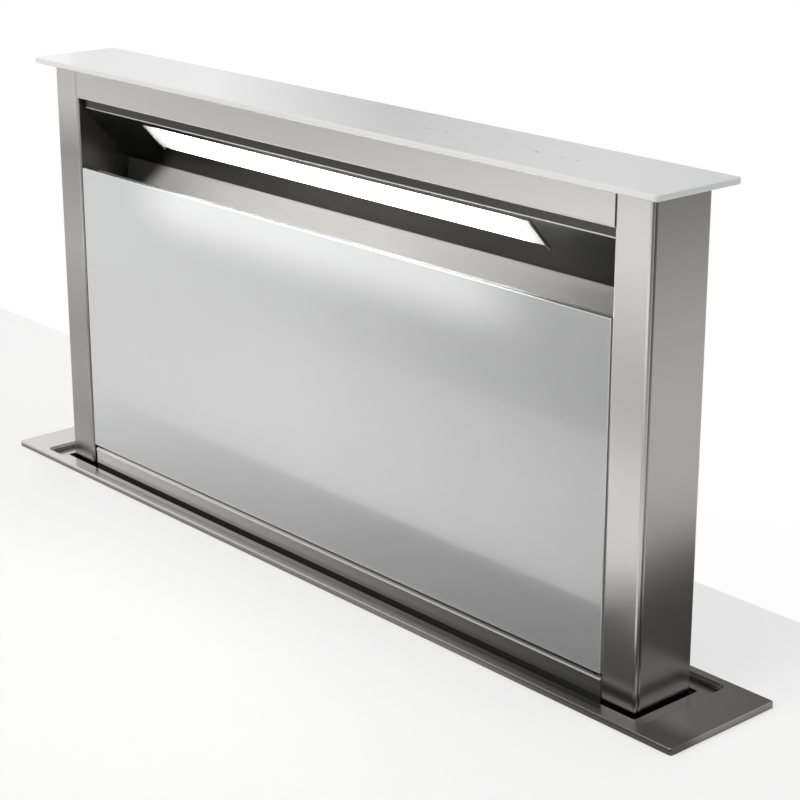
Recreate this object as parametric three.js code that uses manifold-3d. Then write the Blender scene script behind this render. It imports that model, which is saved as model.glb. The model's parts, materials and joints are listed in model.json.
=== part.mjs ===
// Pop-up downdraft extractor: a motor-driven tower that rises out of a worktop frame, with a
// glass lid, a lit intake slot, a tipping glass front panel, and a blower on its chassis below.
// Millimetres, +Z up, X along the tower, -Y towards the cook.
// The origin is the centre of the frame's underside, on the worktop's surface.

import * as THREE from 'three';
import { mergeVertices } from 'three/addons/utils/BufferGeometryUtils.js';
import Module from 'manifold-3d';

const wasm = await Module();
wasm.setup();

// ---------------------------------------------------------------- sizes

// gaps
const seat = 0.3;              // between pieces that touch
const running = 0.6;           // between pieces that slide

// sheet metal
const sheet = 1.2;             // stainless sheet of the tower and the chassis
const bend = 2;                // outer radius of a folded edge

// tower: every length and depth round it follows from these two
const towerLength = 760;
const towerDepth = 63;

// worktop frame
const windowSide = 19;         // from the tower to the frame's window, at each end
const windowGap = 16;          // from the tower to the window, front and back
const frameOverhang = 27;      // how far the frame passes the chassis, at each end
const frameLap = 7;            // how far it passes the chassis, front and back
const frameThickness = 5.4;
const frameArris = 0.8;
const frameCorner = 1.5;
const windowCorner = 3;
const stepWidth = 2.2;         // small step round the window
const stepDrop = 1.6;
const frameRelief = 0.4;       // hollow in the frame's underside, over the worktop's cut-out
const cutoutPlay = 3;          // between the chassis and the edge of the cut-out
const ledgeLip = 10;           // height of the ledge's down-turned edge
const sealGap = 4.5;           // from the tower to the edge of the ledge
const sealHeight = 7;
const sealDrop = 2.4;          // from the ledge's top to the seal's top

// tower shell
const towerTail = 66;          // how far the raised tower reaches below the worktop
const raisedHeight = 395.7;    // top of the raised lid above the top of the frame
const postWidth = 34.8;
const postReturn = 3.3;        // side return of a post's front face
const postFoot = 8;            // rear flange of a post's inner wall
const seamGap = 0.5;           // open seam between a post and its side cover
const coverReturn = 20;        // folded edges of a side cover
const railSetback = 3;
const railTop = 17.5;
const railDrop = 20;           // how far the bottom rail reaches below the worktop
const railGap = 2;
const railShelf = 4;

// lid
const lidLength = 790;
const lidDepth = 90;
const lidThickness = 5;
const lidCorner = 2;
const lidArris = 0.6;
const trayThickness = 1.6;
const trayInset = 2;
const touchLength = 190;
const touchDepth = 34;
const touchThickness = 1.6;
const touchInset = 185;        // from the tower's end to the middle of the board
const keyPads = 5;
const keyPadRadius = 6;
const keyPadHeight = 1;

// intake
const fasciaHeight = 29.4;
const fasciaLip = 6;           // depth of the rounded lip under the fascia
const fasciaFlange = 14;
const intakeHeight = 66.6;
const canopyHem = 8.8;         // from the lip down to the canopy's fold
const canopyDrop = 53.5;       // height over which the canopy slopes down
const canopyDepth = 47.8;
const deflectorDrop = 58;
const deflectorLean = 7.5;
const deflectorFoot = 8;

// light
const lightLength = 499;
const lightWidth = 29.5;
const lightStart = 6.5;        // along the canopy from its hem
const lightDepth = 9;
const diffuserThickness = 3;

// glass front panel
const glassGap = 2.9;          // from the bottom rail to the glass
const glassThickness = 4;
const glassSetback = 1;
const glassSideGap = 2;
const glassArris = 0.5;
const panInset = 4.5;          // pan inside the edge of the glass
const panDepth = 14;
const hingeBack = 9.5;         // hinge axis behind the tower's front
const hingeHeight = 12;
const hingePinRadius = 2.5;
const hingeEyeRadius = 4.6;
const hingeEyeWidth = 3;
const hingePinReach = 3;       // how far a pin passes the post's inner wall

// grease filters
const filterThickness = 9;
const filterBack = 36;         // front of the filters behind the tower's front
const filterBottom = 27;
const filterTopGap = 3;
const filterBorder = 9;
const filterPleats = 15;
const filterSheet = 1.2;
const filterHandleWidth = 44;
const filterHandleHeight = 10;
const filterHandleDepth = 6;

// lift drive
const gearModule = 2.5;
const pinionTeeth = 14;
const pressureAngle = 20;      // degrees
const backlash = 0.35;
const pinionWidth = 10;
const pinionHubRadius = 8;
const pinionHubWidth = 4;
const shaftRadius = 4;
const shaftHeight = -50;       // the raised shaft's height
const shaftBack = 29.5;        // the shaft's axis behind the tower's front
const bushRadius = 6.7;
const bushFlange = 9;
const bushFlangeWidth = 1.8;
const carriageThickness = 3;
const carriageTop = -22;
const carriageFront = -41;
const carriageRear = 12;
const rackWidth = 12;
const rackBack = 7.5;          // rack's body behind its roots
const rackWeb = 4;
const rackFoot = 16;
const rackTop = -30;
const dedendum = 1.25;         // from the pitch line to a root, in modules
const railWidth = 18;          // guide rail
const guideDepth = 13;
const guideSheet = 1.5;
const guideBend = 1.8;
const guideLip = 3;
const guideY = -33;
const guideTop = -14;
const shoeNeck = 8.4;
const shoeHeight = 40;
const gearboxWidth = 46;
const gearboxRadius = 21;
const motorDrop = 34;          // lift motor's axis below the shaft
const motorRadius = 18.5;
const motorLength = 86;
const motorCapLength = 9;
const beamThickness = 2;
const beamBend = 2.5;
const beamFlange = 8;

// chassis
const driveRoom = 33;          // from the tower to the chassis's outer face, at each end
const chassisGap = 19.5;       // from the tower to its outer face, front and back
const chassisDrop = 705;
const chassisReturn = 14;
const floorUpstand = 12;
const keyholeSpacing = 560;
const keyholeDrop = 90;
const keyholeRadius = 5;
const keyholeSlot = 14;
const ventCount = 6;
const ventWidth = 6;
const ventHeight = 64;
const ventPitch = 12;
const clampWidth = 46;
const clampLeg = 44;
const clampFoot = 24;
const clampBend = 3;
const clampDrop = 42;          // underside of the thickest worktop that it clamps
const clampThickness = 2;
const clampSlot = 5;
const clampSlotLength = 23;
const clampSlotOut = 14.4;     // from the bracket's corner to the slot

// blower
const blowerX = 40;
const blowerGap = 1.5;         // from the scroll's flange to the chassis's bottom
const inletRadius = 66;
const impellerRadius = 84;
const impellerWidth = 72;
const impellerBlades = 24;
const bladeThickness = 1.6;
const bladeDepth = 17;
const bladeCurve = 5;
const scrollStart = 91;        // radius at the tongue
const scrollEnd = 134.5;       // radius at the outlet
const scrollWall = 2;
const scrollDepth = 90;
const scrollTongue = -142;     // degrees
const scrollOutlet = 150;      // from the blower's axis to the outlet
const scrollFlange = 7;
const blowerShaftRadius = 4;
const blowerMotorRadius = 43;
const blowerMotorLength = 58;
const blowerMotorFins = 14;
const mountRingRadius = 56;
const mountHeight = 8;

// duct
const ductRadius = 74.7;
const ductWall = 2;
const ductLength = 58;
const ductOut = 78.2;          // duct's axis in front of the front panel
const ductDrop = 68;           // duct's axis below the blower's
const adapterLength = 76;
const ductBead = 2;
const flapThickness = 1.2;
const flapGap = 2;
const flapPinRadius = 2;
const knuckleRadius = 4;
const knuckleHeight = 26;
const flapAt = 26;             // from the collar's mouth to the flaps

// electronics
const boxInset = 33;           // from the chassis's end
const boxLength = 190;
const boxHeight = 128;
const boxDepth = 46;
const boxZ = -400;
const boxWall = 2.5;
const boxCorner = 6;
const coverThickness = 3;
const coverRibs = 7;
const glandRadius = 9;
const glandNut = 7.5;          // height of its six-sided nut
const glandShoulder = 11;
const glandNose = 5.5;         // radius of its nose
const glandLength = 20;
const glandBore = 4.5;
const cableRoom = 9;           // radius of the cable's hole in the front panel

// ---------------------------------------------------------------- places worked out from the sizes

const windowLength = towerLength + 2 * windowSide;
const windowDepth = towerDepth + 2 * windowGap;
const chassisLength = towerLength + 2 * driveRoom;
const chassisDepth = towerDepth + 2 * chassisGap;
const frameLength = chassisLength + 2 * frameOverhang;
const frameDepth = chassisDepth + 2 * frameLap;

const frameTop = frameThickness;
const ledgeTop = frameRelief - seat;
const chassisTop = ledgeTop - sheet - seat;
const chassisEnd = chassisLength / 2;
const chassisBottom = -chassisDrop;
const panelFace = chassisDepth / 2 - sheet - seat;      // outer face of the front and rear panels
const panelInner = panelFace - sheet;
const sideInner = chassisEnd - sheet;

const lidTop = frameTop + raisedHeight;
const lidBottom = lidTop - lidThickness;
const trayTop = lidBottom - seat;
const trayBottom = trayTop - trayThickness;
const towerTop = trayBottom - seat;
const towerBottom = -towerTail;
const towerEnd = towerLength / 2;
const frontY = -towerDepth / 2;
const rearY = towerDepth / 2;
const postInner = towerEnd - postWidth;
const betweenPosts = postInner - seat;
const lipZ = lidBottom - fasciaHeight;
const glassTop = lipZ - intakeHeight;
const glassBottom = railTop + glassGap;
const glassHeight = glassTop - glassBottom;
const glassFront = frontY + glassSetback;
const glassBack = glassFront + glassThickness;
const glassEnd = postInner - glassSideGap;

const hingeY = frontY + hingeBack;
const shaftY = frontY + shaftBack;
const pitchRadius = gearModule * pinionTeeth / 2;
const rackPitchY = shaftY + pitchRadius;
const rackInner = towerEnd + bushFlangeWidth + carriageThickness + seat;
const blowerZ = chassisBottom + blowerGap + scrollFlange + scrollEnd;
const ductY = -panelFace - seat - ductOut;
const ductZ = blowerZ - ductDrop;
const boxX = chassisEnd - boxInset - boxLength / 2;
const touchCentre = towerEnd - touchInset;

// ---------------------------------------------------------------- shaping

const steel = { color: 0xb4b3b0, roughness: 0.32, metalness: 1 };
const darkSteel = { color: 0x8f8e8b, roughness: 0.38, metalness: 1 };
const zinc = { color: 0x9da1a3, roughness: 0.48, metalness: 0.9 };
const whiteGlass = { color: 0xe4e6e6, roughness: 0.06, metalness: 0 };
const lamp = { color: 0xffffff, roughness: 0.4, metalness: 0 };
const aluminium = { color: 0xc6c8ca, roughness: 0.42, metalness: 0.9 };
const blackPlastic = { color: 0x1d1e20, roughness: 0.55, metalness: 0 };
const greyPlastic = { color: 0x5c5f63, roughness: 0.5, metalness: 0 };
const whitePlastic = { color: 0xe9e7e1, roughness: 0.45, metalness: 0 };
const rubber = { color: 0x141414, roughness: 0.85, metalness: 0 };
const board = { color: 0x1f5a38, roughness: 0.5, metalness: 0.1 };

const model = new THREE.Group();

function place(group, name, geometry, finish) {
  geometry.computeVertexNormals();
  const mesh = new THREE.Mesh(geometry, new THREE.MeshStandardMaterial(finish));
  mesh.name = name;
  group.add(mesh);
  return mesh;
}

function groupAt(parent, x = 0, y = 0, z = 0) {
  const group = new THREE.Group();
  group.position.set(x, y, z);
  parent.add(group);
  return group;
}

const shapeOf = (points) => new THREE.Shape(points.map(([u, v]) => new THREE.Vector2(u, v)));

function extruded(shape, depth, options) {
  const settings = { depth, bevelEnabled: false, curveSegments: 2, ...options };
  return new THREE.ExtrudeGeometry(shape, settings);
}

const yzToX = new THREE.Matrix4().makeBasis(
  new THREE.Vector3(0, 1, 0), new THREE.Vector3(0, 0, 1), new THREE.Vector3(1, 0, 0));
const xzToY = new THREE.Matrix4().makeBasis(
  new THREE.Vector3(1, 0, 0), new THREE.Vector3(0, 0, 1), new THREE.Vector3(0, -1, 0));

// outlines in X and Y, in Y and Z, and in X and Z, each drawn out along the third axis
const alongZ = (shape, z0, z1, options) =>
  extruded(shape, z1 - z0, options).translate(0, 0, z0);
const alongX = (shape, x0, x1, options) =>
  extruded(shape, x1 - x0, options).applyMatrix4(yzToX).translate(x0, 0, 0);
const alongY = (shape, y0, y1, options) =>
  extruded(shape, y1 - y0, options).applyMatrix4(xzToY).translate(0, y1, 0);

const box = (x0, x1, y0, y1, z0, z1) => new THREE.BoxGeometry(x1 - x0, y1 - y0, z1 - z0)
  .translate((x0 + x1) / 2, (y0 + y1) / 2, (z0 + z1) / 2);

const rodX = (radius, x0, x1, y, z, sides = 20) => new THREE.CylinderGeometry(
  radius, radius, x1 - x0, sides).rotateZ(Math.PI / 2).translate((x0 + x1) / 2, y, z);
const rodY = (radius, y0, y1, x, z, sides = 24) => new THREE.CylinderGeometry(
  radius, radius, y1 - y0, sides).translate(x, (y0 + y1) / 2, z);
const rodZ = (radius, z0, z1, x, y, sides = 12) => new THREE.CylinderGeometry(
  radius, radius, z1 - z0, sides).rotateX(Math.PI / 2).translate(x, y, (z0 + z1) / 2);

function solid(geometry) {
  const bare = geometry.clone();
  bare.deleteAttribute('normal');
  bare.deleteAttribute('uv');
  const merged = mergeVertices(bare, 1e-4);
  return new wasm.Manifold(new wasm.Mesh({
    numProp: 3,
    vertProperties: Float32Array.from(merged.attributes.position.array),
    triVerts: Uint32Array.from(merged.index.array),
  }));
}

function geometryOf(manifold) {
  const mesh = manifold.getMesh();
  const geometry = new THREE.BufferGeometry();
  geometry.setAttribute('position', new THREE.BufferAttribute(mesh.vertProperties, 3));
  geometry.setIndex(new THREE.BufferAttribute(mesh.triVerts, 1));
  return geometry;
}

const joined = (...pieces) => geometryOf(pieces.map(solid).reduce((a, b) => a.add(b)));
const cut = (piece, ...tools) =>
  geometryOf(tools.map(solid).reduce((a, b) => a.subtract(b), solid(piece)));

// a rectangle with round corners, centred, as a shape or a hole
function rounded(length, depth, radius, Path = THREE.Shape) {
  const [x, y] = [length / 2, depth / 2];
  const path = new Path();
  path.moveTo(-x + radius, -y);
  path.lineTo(x - radius, -y);
  path.absarc(x - radius, -y + radius, radius, -Math.PI / 2, 0);
  path.lineTo(x, y - radius);
  path.absarc(x - radius, y - radius, radius, 0, Math.PI / 2);
  path.lineTo(-x + radius, y);
  path.absarc(-x + radius, y - radius, radius, Math.PI / 2, Math.PI);
  path.lineTo(-x, -y + radius);
  path.absarc(-x + radius, -y + radius, radius, Math.PI, 1.5 * Math.PI);
  return path;
}

function ring(length, depth, corner, inLength, inDepth, inCorner) {
  const shape = rounded(length, depth, corner);
  shape.holes.push(rounded(inLength, inDepth, inCorner, THREE.Path));
  return shape;
}

// A folded sheet seen from its end: a path along one face, with the sheet to its left
// and a round fold at each corner.
function folded(path, { thickness = sheet, radius = bend, steps = 2 } = {}) {
  const near = [];
  const far = [];
  path.forEach((point, i) => {
    const before = path[i - 1];
    const after = path[i + 1];
    if (!before || !after) {
      const [from, to] = [before ?? point, after ?? point];
      const run = Math.hypot(to[0] - from[0], to[1] - from[1]);
      near.push(point);
      far.push([point[0] - thickness * (to[1] - from[1]) / run,
        point[1] + thickness * (to[0] - from[0]) / run]);
      return;
    }
    const heading = Math.atan2(point[1] - before[1], point[0] - before[0]);
    const turned = Math.atan2(after[1] - point[1], after[0] - point[0]) - heading;
    const turn = Math.atan2(Math.sin(turned), Math.cos(turned));
    const side = Math.sign(turn);
    const nearRadius = side > 0 ? radius : radius - thickness;
    const farRadius = side > 0 ? radius - thickness : radius;
    const run = nearRadius * Math.tan(Math.abs(turn) / 2);
    const centreU = point[0] - Math.cos(heading) * run - Math.sin(heading) * side * nearRadius;
    const centreV = point[1] - Math.sin(heading) * run + Math.cos(heading) * side * nearRadius;
    for (let k = 0; k <= steps; k += 1) {
      const angle = heading + turn * k / steps - side * Math.PI / 2;
      const [u, v] = [Math.cos(angle), Math.sin(angle)];
      near.push([centreU + u * nearRadius, centreV + v * nearRadius]);
      far.push([centreU + u * farRadius, centreV + v * farRadius]);
    }
  });
  return shapeOf([...near, ...far.reverse()]);
}

// the same piece for each end of the tower; side is -1 on the left and 1 on the right
const ends = [['left', -1], ['right', 1]];
function mirroredX(geometry, side) {
  return side > 0 ? geometry : geometryOf(solid(geometry).mirror([1, 0, 0]));
}

// ---------------------------------------------------------------- worktop frame

function worktopFrame() {
  const group = groupAt(model);

  const outline = rounded(frameLength - 2 * frameArris, frameDepth - 2 * frameArris, frameCorner);
  const plate = alongZ(outline, 0, frameTop - frameArris, {
    bevelEnabled: true, bevelThickness: frameArris, bevelSize: frameArris, bevelSegments: 1,
  });
  const squareFoot = box(-frameLength, frameLength, -frameDepth, frameDepth, -frameTop, 0);
  const through = alongZ(rounded(windowLength, windowDepth, windowCorner), -frameTop, 2 * frameTop);
  const step = alongZ(
    rounded(windowLength + 2 * stepWidth, windowDepth + 2 * stepWidth, windowCorner + stepWidth),
    frameTop - stepDrop, 2 * frameTop);
  const relief = alongZ(
    rounded(chassisLength + 2 * cutoutPlay, chassisDepth + 2 * cutoutPlay, bend), -frameTop, frameRelief);
  place(group, 'worktop_frame', cut(plate, squareFoot, through, step, relief), darkSteel);

  const openLength = towerLength + 2 * sealGap;
  const openDepth = towerDepth + 2 * sealGap;
  const ledge = alongZ(
    ring(chassisLength, chassisDepth, bend, openLength, openDepth, bend),
    ledgeTop - sheet, ledgeTop);
  const lip = alongZ(
    ring(openLength + 2 * sheet, openDepth + 2 * sheet, bend + sheet, openLength, openDepth, bend),
    ledgeTop - ledgeLip, ledgeTop - sheet / 2);
  place(group, 'recess_ledge', joined(ledge, lip), darkSteel);

  const seal = ring(openLength - 2 * seat, openDepth - 2 * seat, bend,
    towerLength + 2 * running, towerDepth + 2 * running, bend);
  const sealTop = ledgeTop - sealDrop;
  place(group, 'wiper_seal', alongZ(seal, sealTop - sealHeight, sealTop), rubber);
}

// ---------------------------------------------------------------- chassis below the worktop

function sidePanel(side) {
  const [near, far] = [chassisEnd - chassisReturn, chassisDepth / 2];
  const path = [[near, -far], [chassisEnd, -far], [chassisEnd, far], [near, far]];
  return mirroredX(alongZ(folded(path), chassisBottom, chassisTop), side);
}

function frontPanel() {
  const reach = sideInner - seat;
  const plate = box(-reach, reach, -panelFace, -panelInner, chassisBottom + seat + sheet, chassisTop);
  const inlet = rodY(inletRadius, -chassisDepth, 0, blowerX, blowerZ, 36);
  const cable = rodY(cableRoom, -chassisDepth, 0, boxX, boxZ - boxHeight / 2 - glandLength, 16);
  return cut(plate, inlet, cable);
}

function rearPanel() {
  const reach = sideInner - seat;
  const plate = box(-reach, reach, panelInner, panelFace, chassisBottom + seat + sheet, chassisTop);
  const keyholes = [-1, 1].flatMap((side) => {
    const x = side * keyholeSpacing / 2;
    const head = chassisTop - keyholeDrop;
    const slot = keyholeRadius / 2;
    return [
      rodY(keyholeRadius, 0, chassisDepth, x, head, 16),
      box(x - slot, x + slot, 0, chassisDepth, head, head + keyholeSlot),
    ];
  });
  const vents = Array.from({ length: ventCount }, (_, i) => {
    const x = boxX + (i - (ventCount - 1) / 2) * ventPitch;
    return box(x - ventWidth / 2, x + ventWidth / 2, 0, chassisDepth,
      boxZ - ventHeight / 2, boxZ + ventHeight / 2);
  });
  return cut(plate, ...keyholes, ...vents);
}

function clampBracket(side) {
  const from = chassisEnd + seat;
  const top = -clampDrop;
  const path = [[from, top - clampLeg], [from, top], [from + clampFoot, top]];
  const angle = alongY(folded(path.toReversed(), { thickness: clampThickness, radius: clampBend }),
    -clampWidth / 2, clampWidth / 2);
  const slotX = from + clampSlotOut;
  const slot = box(slotX - clampSlot / 2, slotX + clampSlot / 2,
    -clampSlotLength / 2, clampSlotLength / 2, top - clampLeg / 2, top + clampLeg / 2);
  return mirroredX(cut(angle, slot), side);
}

function guideRail(side) {
  const back = sideInner - seat;
  const half = railWidth / 2;
  const mouth = back - guideDepth;
  const path = [
    [mouth, guideY - half + guideLip + guideSheet], [mouth, guideY - half], [back, guideY - half],
    [back, guideY + half], [mouth, guideY + half], [mouth, guideY + half - guideLip - guideSheet],
  ];
  const profile = folded(path, { thickness: guideSheet, radius: guideBend, steps: 1 });
  const bottom = shaftHeight - raisedHeight - shoeHeight;
  return mirroredX(alongZ(profile, bottom, guideTop), side);
}

// a straight rack: trapezoid teeth on the side towards the shaft, a body, a web and a foot
function liftRack(side) {
  const pitch = Math.PI * gearModule;
  const slope = Math.tan(THREE.MathUtils.degToRad(pressureAngle));
  const tipY = rackPitchY - gearModule + seat;
  const rootY = rackPitchY + dedendum * gearModule;
  const backY = rootY + rackBack;
  const halfAt = (y) => pitch / 4 - backlash / 2 + (y - rackPitchY) * slope;
  const above = Math.floor((rackTop - shaftHeight) / pitch);
  const below = Math.ceil((raisedHeight + pitchRadius) / pitch);
  const outline = [];
  for (let i = -below; i < above; i += 1) {
    const z = shaftHeight + (i + 0.5) * pitch;
    outline.push([rootY, z - halfAt(rootY)], [tipY, z - halfAt(tipY)],
      [tipY, z + halfAt(tipY)], [rootY, z + halfAt(rootY)]);
  }
  const bottom = shaftHeight - (below + 0.5) * pitch;
  const top = shaftHeight + (above + 0.5) * pitch;
  outline.push([rootY, top], [backY, top], [backY, bottom], [rootY, bottom]);
  const start = rackInner + seat;
  const bar = alongX(shapeOf(outline), start, start + rackWidth);
  const wall = sideInner - seat;
  const web = box(start + rackWidth / 2, wall, backY - rackWeb, backY, bottom, top);
  const foot = box(wall - sheet * 2, wall, backY - rackWeb, backY - rackWeb + rackFoot, bottom, top);
  return mirroredX(joined(bar, web, foot), side);
}

function chassis() {
  const group = groupAt(model);
  for (const [name, side] of ends) {
    place(group, `chassis_side_${name}`, sidePanel(side), zinc);
    place(group, `clamp_bracket_${name}`, clampBracket(side), zinc);
    place(group, `guide_rail_${name}`, guideRail(side), aluminium);
    place(group, `lift_rack_${name}`, liftRack(side), greyPlastic);
  }
  place(group, 'chassis_front_panel', frontPanel(), zinc);
  place(group, 'chassis_rear_panel', rearPanel(), zinc);
  const edge = panelInner - seat;
  const floor = folded([[-edge, chassisBottom + floorUpstand], [-edge, chassisBottom],
    [edge, chassisBottom], [edge, chassisBottom + floorUpstand]]);
  const reach = sideInner - seat;
  place(group, 'chassis_floor', alongX(floor, -reach, reach), zinc);
}

// a turned piece: its profile as [radius, height] points, turned round Y
function turned(profile, sides = 32) {
  const area = profile.reduce((sum, [r, h], i) => {
    const [nextR, nextH] = profile[(i + 1) % profile.length];
    return sum + r * nextH - nextR * h;
  }, 0);
  const ordered = area > 0 ? profile : profile.toReversed();
  const closed = ordered.every(([r]) => r > 0) ? [...ordered, ordered[0]] : ordered;
  return new THREE.LatheGeometry(closed.map(([r, h]) => new THREE.Vector2(r, h)), sides);
}

// ---------------------------------------------------------------- tower shell

const tower = groupAt(model);
const bushHole = bushRadius + seat;
const railEnd = postInner - railGap;
const filterY = frontY + filterBack;
const filterEdge = filterY + filterThickness;
const canopyFront = frontY + fasciaLip + seat;
const canopyFold = lipZ - canopyHem;
const canopyAngle = Math.atan2(canopyDrop, canopyDepth);
const deflectorTop = canopyFold - canopyDrop + fasciaLip;
const deflectorY = canopyFront + canopyDepth + 2 * sheet + seat;
const deflectorBottom = deflectorTop - deflectorDrop;
const panEnd = glassEnd - panInset;
const panFront = glassBack + seat;
const panBack = panFront + panDepth;

function post(side) {
  const back = rearY - sheet - seat;
  const path = [[postInner + postFoot, back], [postInner, back], [postInner, frontY],
    [towerEnd, frontY], [towerEnd, frontY + postReturn]];
  const folding = alongZ(folded(path), towerBottom, towerTop);
  const pinHole = rodX(hingePinRadius + seat, 0, towerEnd - bend, hingeY, hingeHeight, 16);
  const shaftHole = rodX(bushHole, 0, towerEnd - bend, shaftY, shaftHeight);
  return mirroredX(cut(folding, pinHole, shaftHole), side);
}

function sideCover(side) {
  const front = frontY + postReturn + seamGap;
  const back = towerEnd - coverReturn;
  const path = [[back, front], [towerEnd, front], [towerEnd, rearY], [back, rearY]];
  const folding = alongZ(folded(path), towerBottom, towerTop);
  return mirroredX(cut(folding, rodX(bushHole, 0, 2 * towerEnd, shaftY, shaftHeight)), side);
}

function bottomRail() {
  const front = frontY + railSetback;
  const back = filterEdge + sheet + seat;
  const sill = filterBottom - seat;
  const path = [[front + railShelf, railTop], [front, railTop], [front, -railDrop],
    [back, -railDrop], [back, sill], [filterY - 1, sill]];
  const channel = alongX(folded(path), -railEnd, railEnd);
  const notches = [-1, 1].map((side) => {
    const [near, far] = [panEnd - hingeEyeWidth - railGap, towerEnd];
    return box(Math.min(side * near, side * far), Math.max(side * near, side * far),
      front + sheet, hingeY, hingeHeight, railTop + seat);
  });
  return cut(channel, ...notches);
}

function towerShell() {
  for (const [name, side] of ends) {
    place(tower, `post_${name}`, post(side), steel);
    place(tower, `side_cover_${name}`, sideCover(side), steel);
  }
  const rearEnd = towerEnd - coverReturn - seat;
  place(tower, 'tower_rear_panel',
    box(-rearEnd, rearEnd, rearY - sheet, rearY, towerBottom, towerTop), steel);

  const fascia = folded([[frontY + fasciaFlange, towerTop], [frontY, towerTop], [frontY, lipZ],
    [frontY + fasciaLip, lipZ]]);
  place(tower, 'top_fascia', alongX(fascia, -betweenPosts, betweenPosts), steel);
  place(tower, 'bottom_rail', bottomRail(), steel);
}

// ---------------------------------------------------------------- lid

function lid() {
  const group = groupAt(tower, 0, 0, lidBottom);
  const outline = rounded(lidLength - 2 * lidArris, lidDepth - 2 * lidArris, lidCorner);
  const glass = alongZ(outline, lidArris, lidThickness - lidArris, {
    bevelEnabled: true, bevelThickness: lidArris, bevelSize: lidArris, bevelSegments: 1,
  });
  place(group, 'lid_glass', glass, whiteGlass);

  const keys = Array.from({ length: keyPads }, (_, i) =>
    touchCentre + (i / (keyPads - 1) - 0.5) * (touchLength - 4 * keyPadRadius));
  const tray = alongZ(
    rounded(towerLength - 2 * trayInset, towerDepth - 2 * trayInset, lidCorner),
    -seat - trayThickness, -seat);
  const keyHoles = keys.map((x) =>
    rodZ(keyPadRadius + running, -2 * trayThickness, seat, x, 0));
  place(group, 'lid_tray', cut(tray, ...keyHoles), zinc);

  const boardTop = -seat - trayThickness - seat;
  const plate = alongZ(rounded(touchLength, touchDepth, lidCorner), boardTop - touchThickness,
    boardTop).translate(touchCentre, 0, 0);
  const pads = keys.map((x) =>
    rodZ(keyPadRadius, boardTop - touchThickness / 2, boardTop + keyPadHeight, x, 0));
  place(group, 'touch_board', joined(plate, ...pads), board);
}

// ---------------------------------------------------------------- intake slot and its light

function intake() {
  const canopy = folded([[canopyFront, lipZ + fasciaLip], [canopyFront, canopyFold],
    [canopyFront + canopyDepth, canopyFold - canopyDrop]]);

  // the sloping face: its own Y runs down the slope from the fold, its own Z out of the back
  const slope = groupAt(tower, 0, canopyFront, canopyFold);
  slope.rotation.x = -canopyAngle;
  const onSlope = (geometry) => geometry.clone().rotateX(-canopyAngle)
    .translate(0, canopyFront, canopyFold);

  const half = lightLength / 2;
  const lightEnd = lightStart + lightWidth;
  const window = box(-half - seat, half + seat, lightStart - seat, lightEnd + seat,
    -lightDepth, lightDepth);
  place(tower, 'intake_canopy',
    cut(alongX(canopy, -betweenPosts, betweenPosts), onSlope(window)), steel);

  const diffuser = rounded(lightLength, lightWidth, bend);
  place(slope, 'light_diffuser', alongZ(diffuser, 0, diffuserThickness)
    .translate(0, (lightStart + lightEnd) / 2, 0), lamp);

  const [wall, under] = [3 * sheet, sheet + seat];
  const outer = box(-half - wall, half + wall, lightStart - wall, lightEnd + wall,
    under, under + lightDepth);
  const inner = box(-half - seat, half + seat, lightStart - seat, lightEnd + seat,
    0, under + lightDepth - sheet);
  place(slope, 'light_housing', cut(outer, inner), aluminium);

  const deflector = folded([[deflectorY, deflectorTop],
    [deflectorY - deflectorLean, deflectorBottom],
    [deflectorY - deflectorLean - deflectorFoot, deflectorBottom]]);
  place(tower, 'rear_deflector', alongX(deflector, -betweenPosts, betweenPosts), steel);
}

// a cassette: a channel frame round a pleated sheet, with a pull handle on its front
function greaseFilter(width) {
  const height = deflectorBottom - sheet - filterTopGap - filterBottom;
  const [x, z] = [width / 2, height / 2];
  const frame = rounded(width, height, bend);
  frame.holes.push(rounded(width - 2 * filterBorder, height - 2 * filterBorder, bend, THREE.Path));
  const border = alongY(frame, 0, filterThickness);

  const reach = x - filterBorder / 2;
  const [low, high] = [sheet, filterThickness - sheet - filterSheet];
  const near = Array.from({ length: 2 * filterPleats + 1 }, (_, i) =>
    [-reach + (i * reach) / filterPleats, i % 2 ? high : low]);
  const far = near.map(([u, v]) => [u, v + filterSheet]).reverse();
  const pleats = alongZ(shapeOf([...near, ...far]), -z + filterBorder / 2, z - filterBorder / 2);

  const [w, top] = [filterHandleWidth / 2, z - sheet];
  const grip = box(-w, w, -filterHandleDepth, seat, top - filterHandleHeight, top);
  const fingers = box(-w + bend, w - bend, -filterHandleDepth + sheet, 0,
    top - 2 * filterHandleHeight, top - sheet);
  return joined(border, pleats, cut(grip, fingers));
}

function filters() {
  const width = betweenPosts - 2 * seat;
  const middle = (filterBottom + deflectorBottom - sheet - filterTopGap) / 2;
  for (const [name, side] of ends) {
    const group = groupAt(tower, side * (width / 2 + seat), filterY, middle);
    place(group, `grease_filter_${name}`, greaseFilter(width), aluminium);
  }
}

// ---------------------------------------------------------------- glass front panel, tips forward

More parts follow.
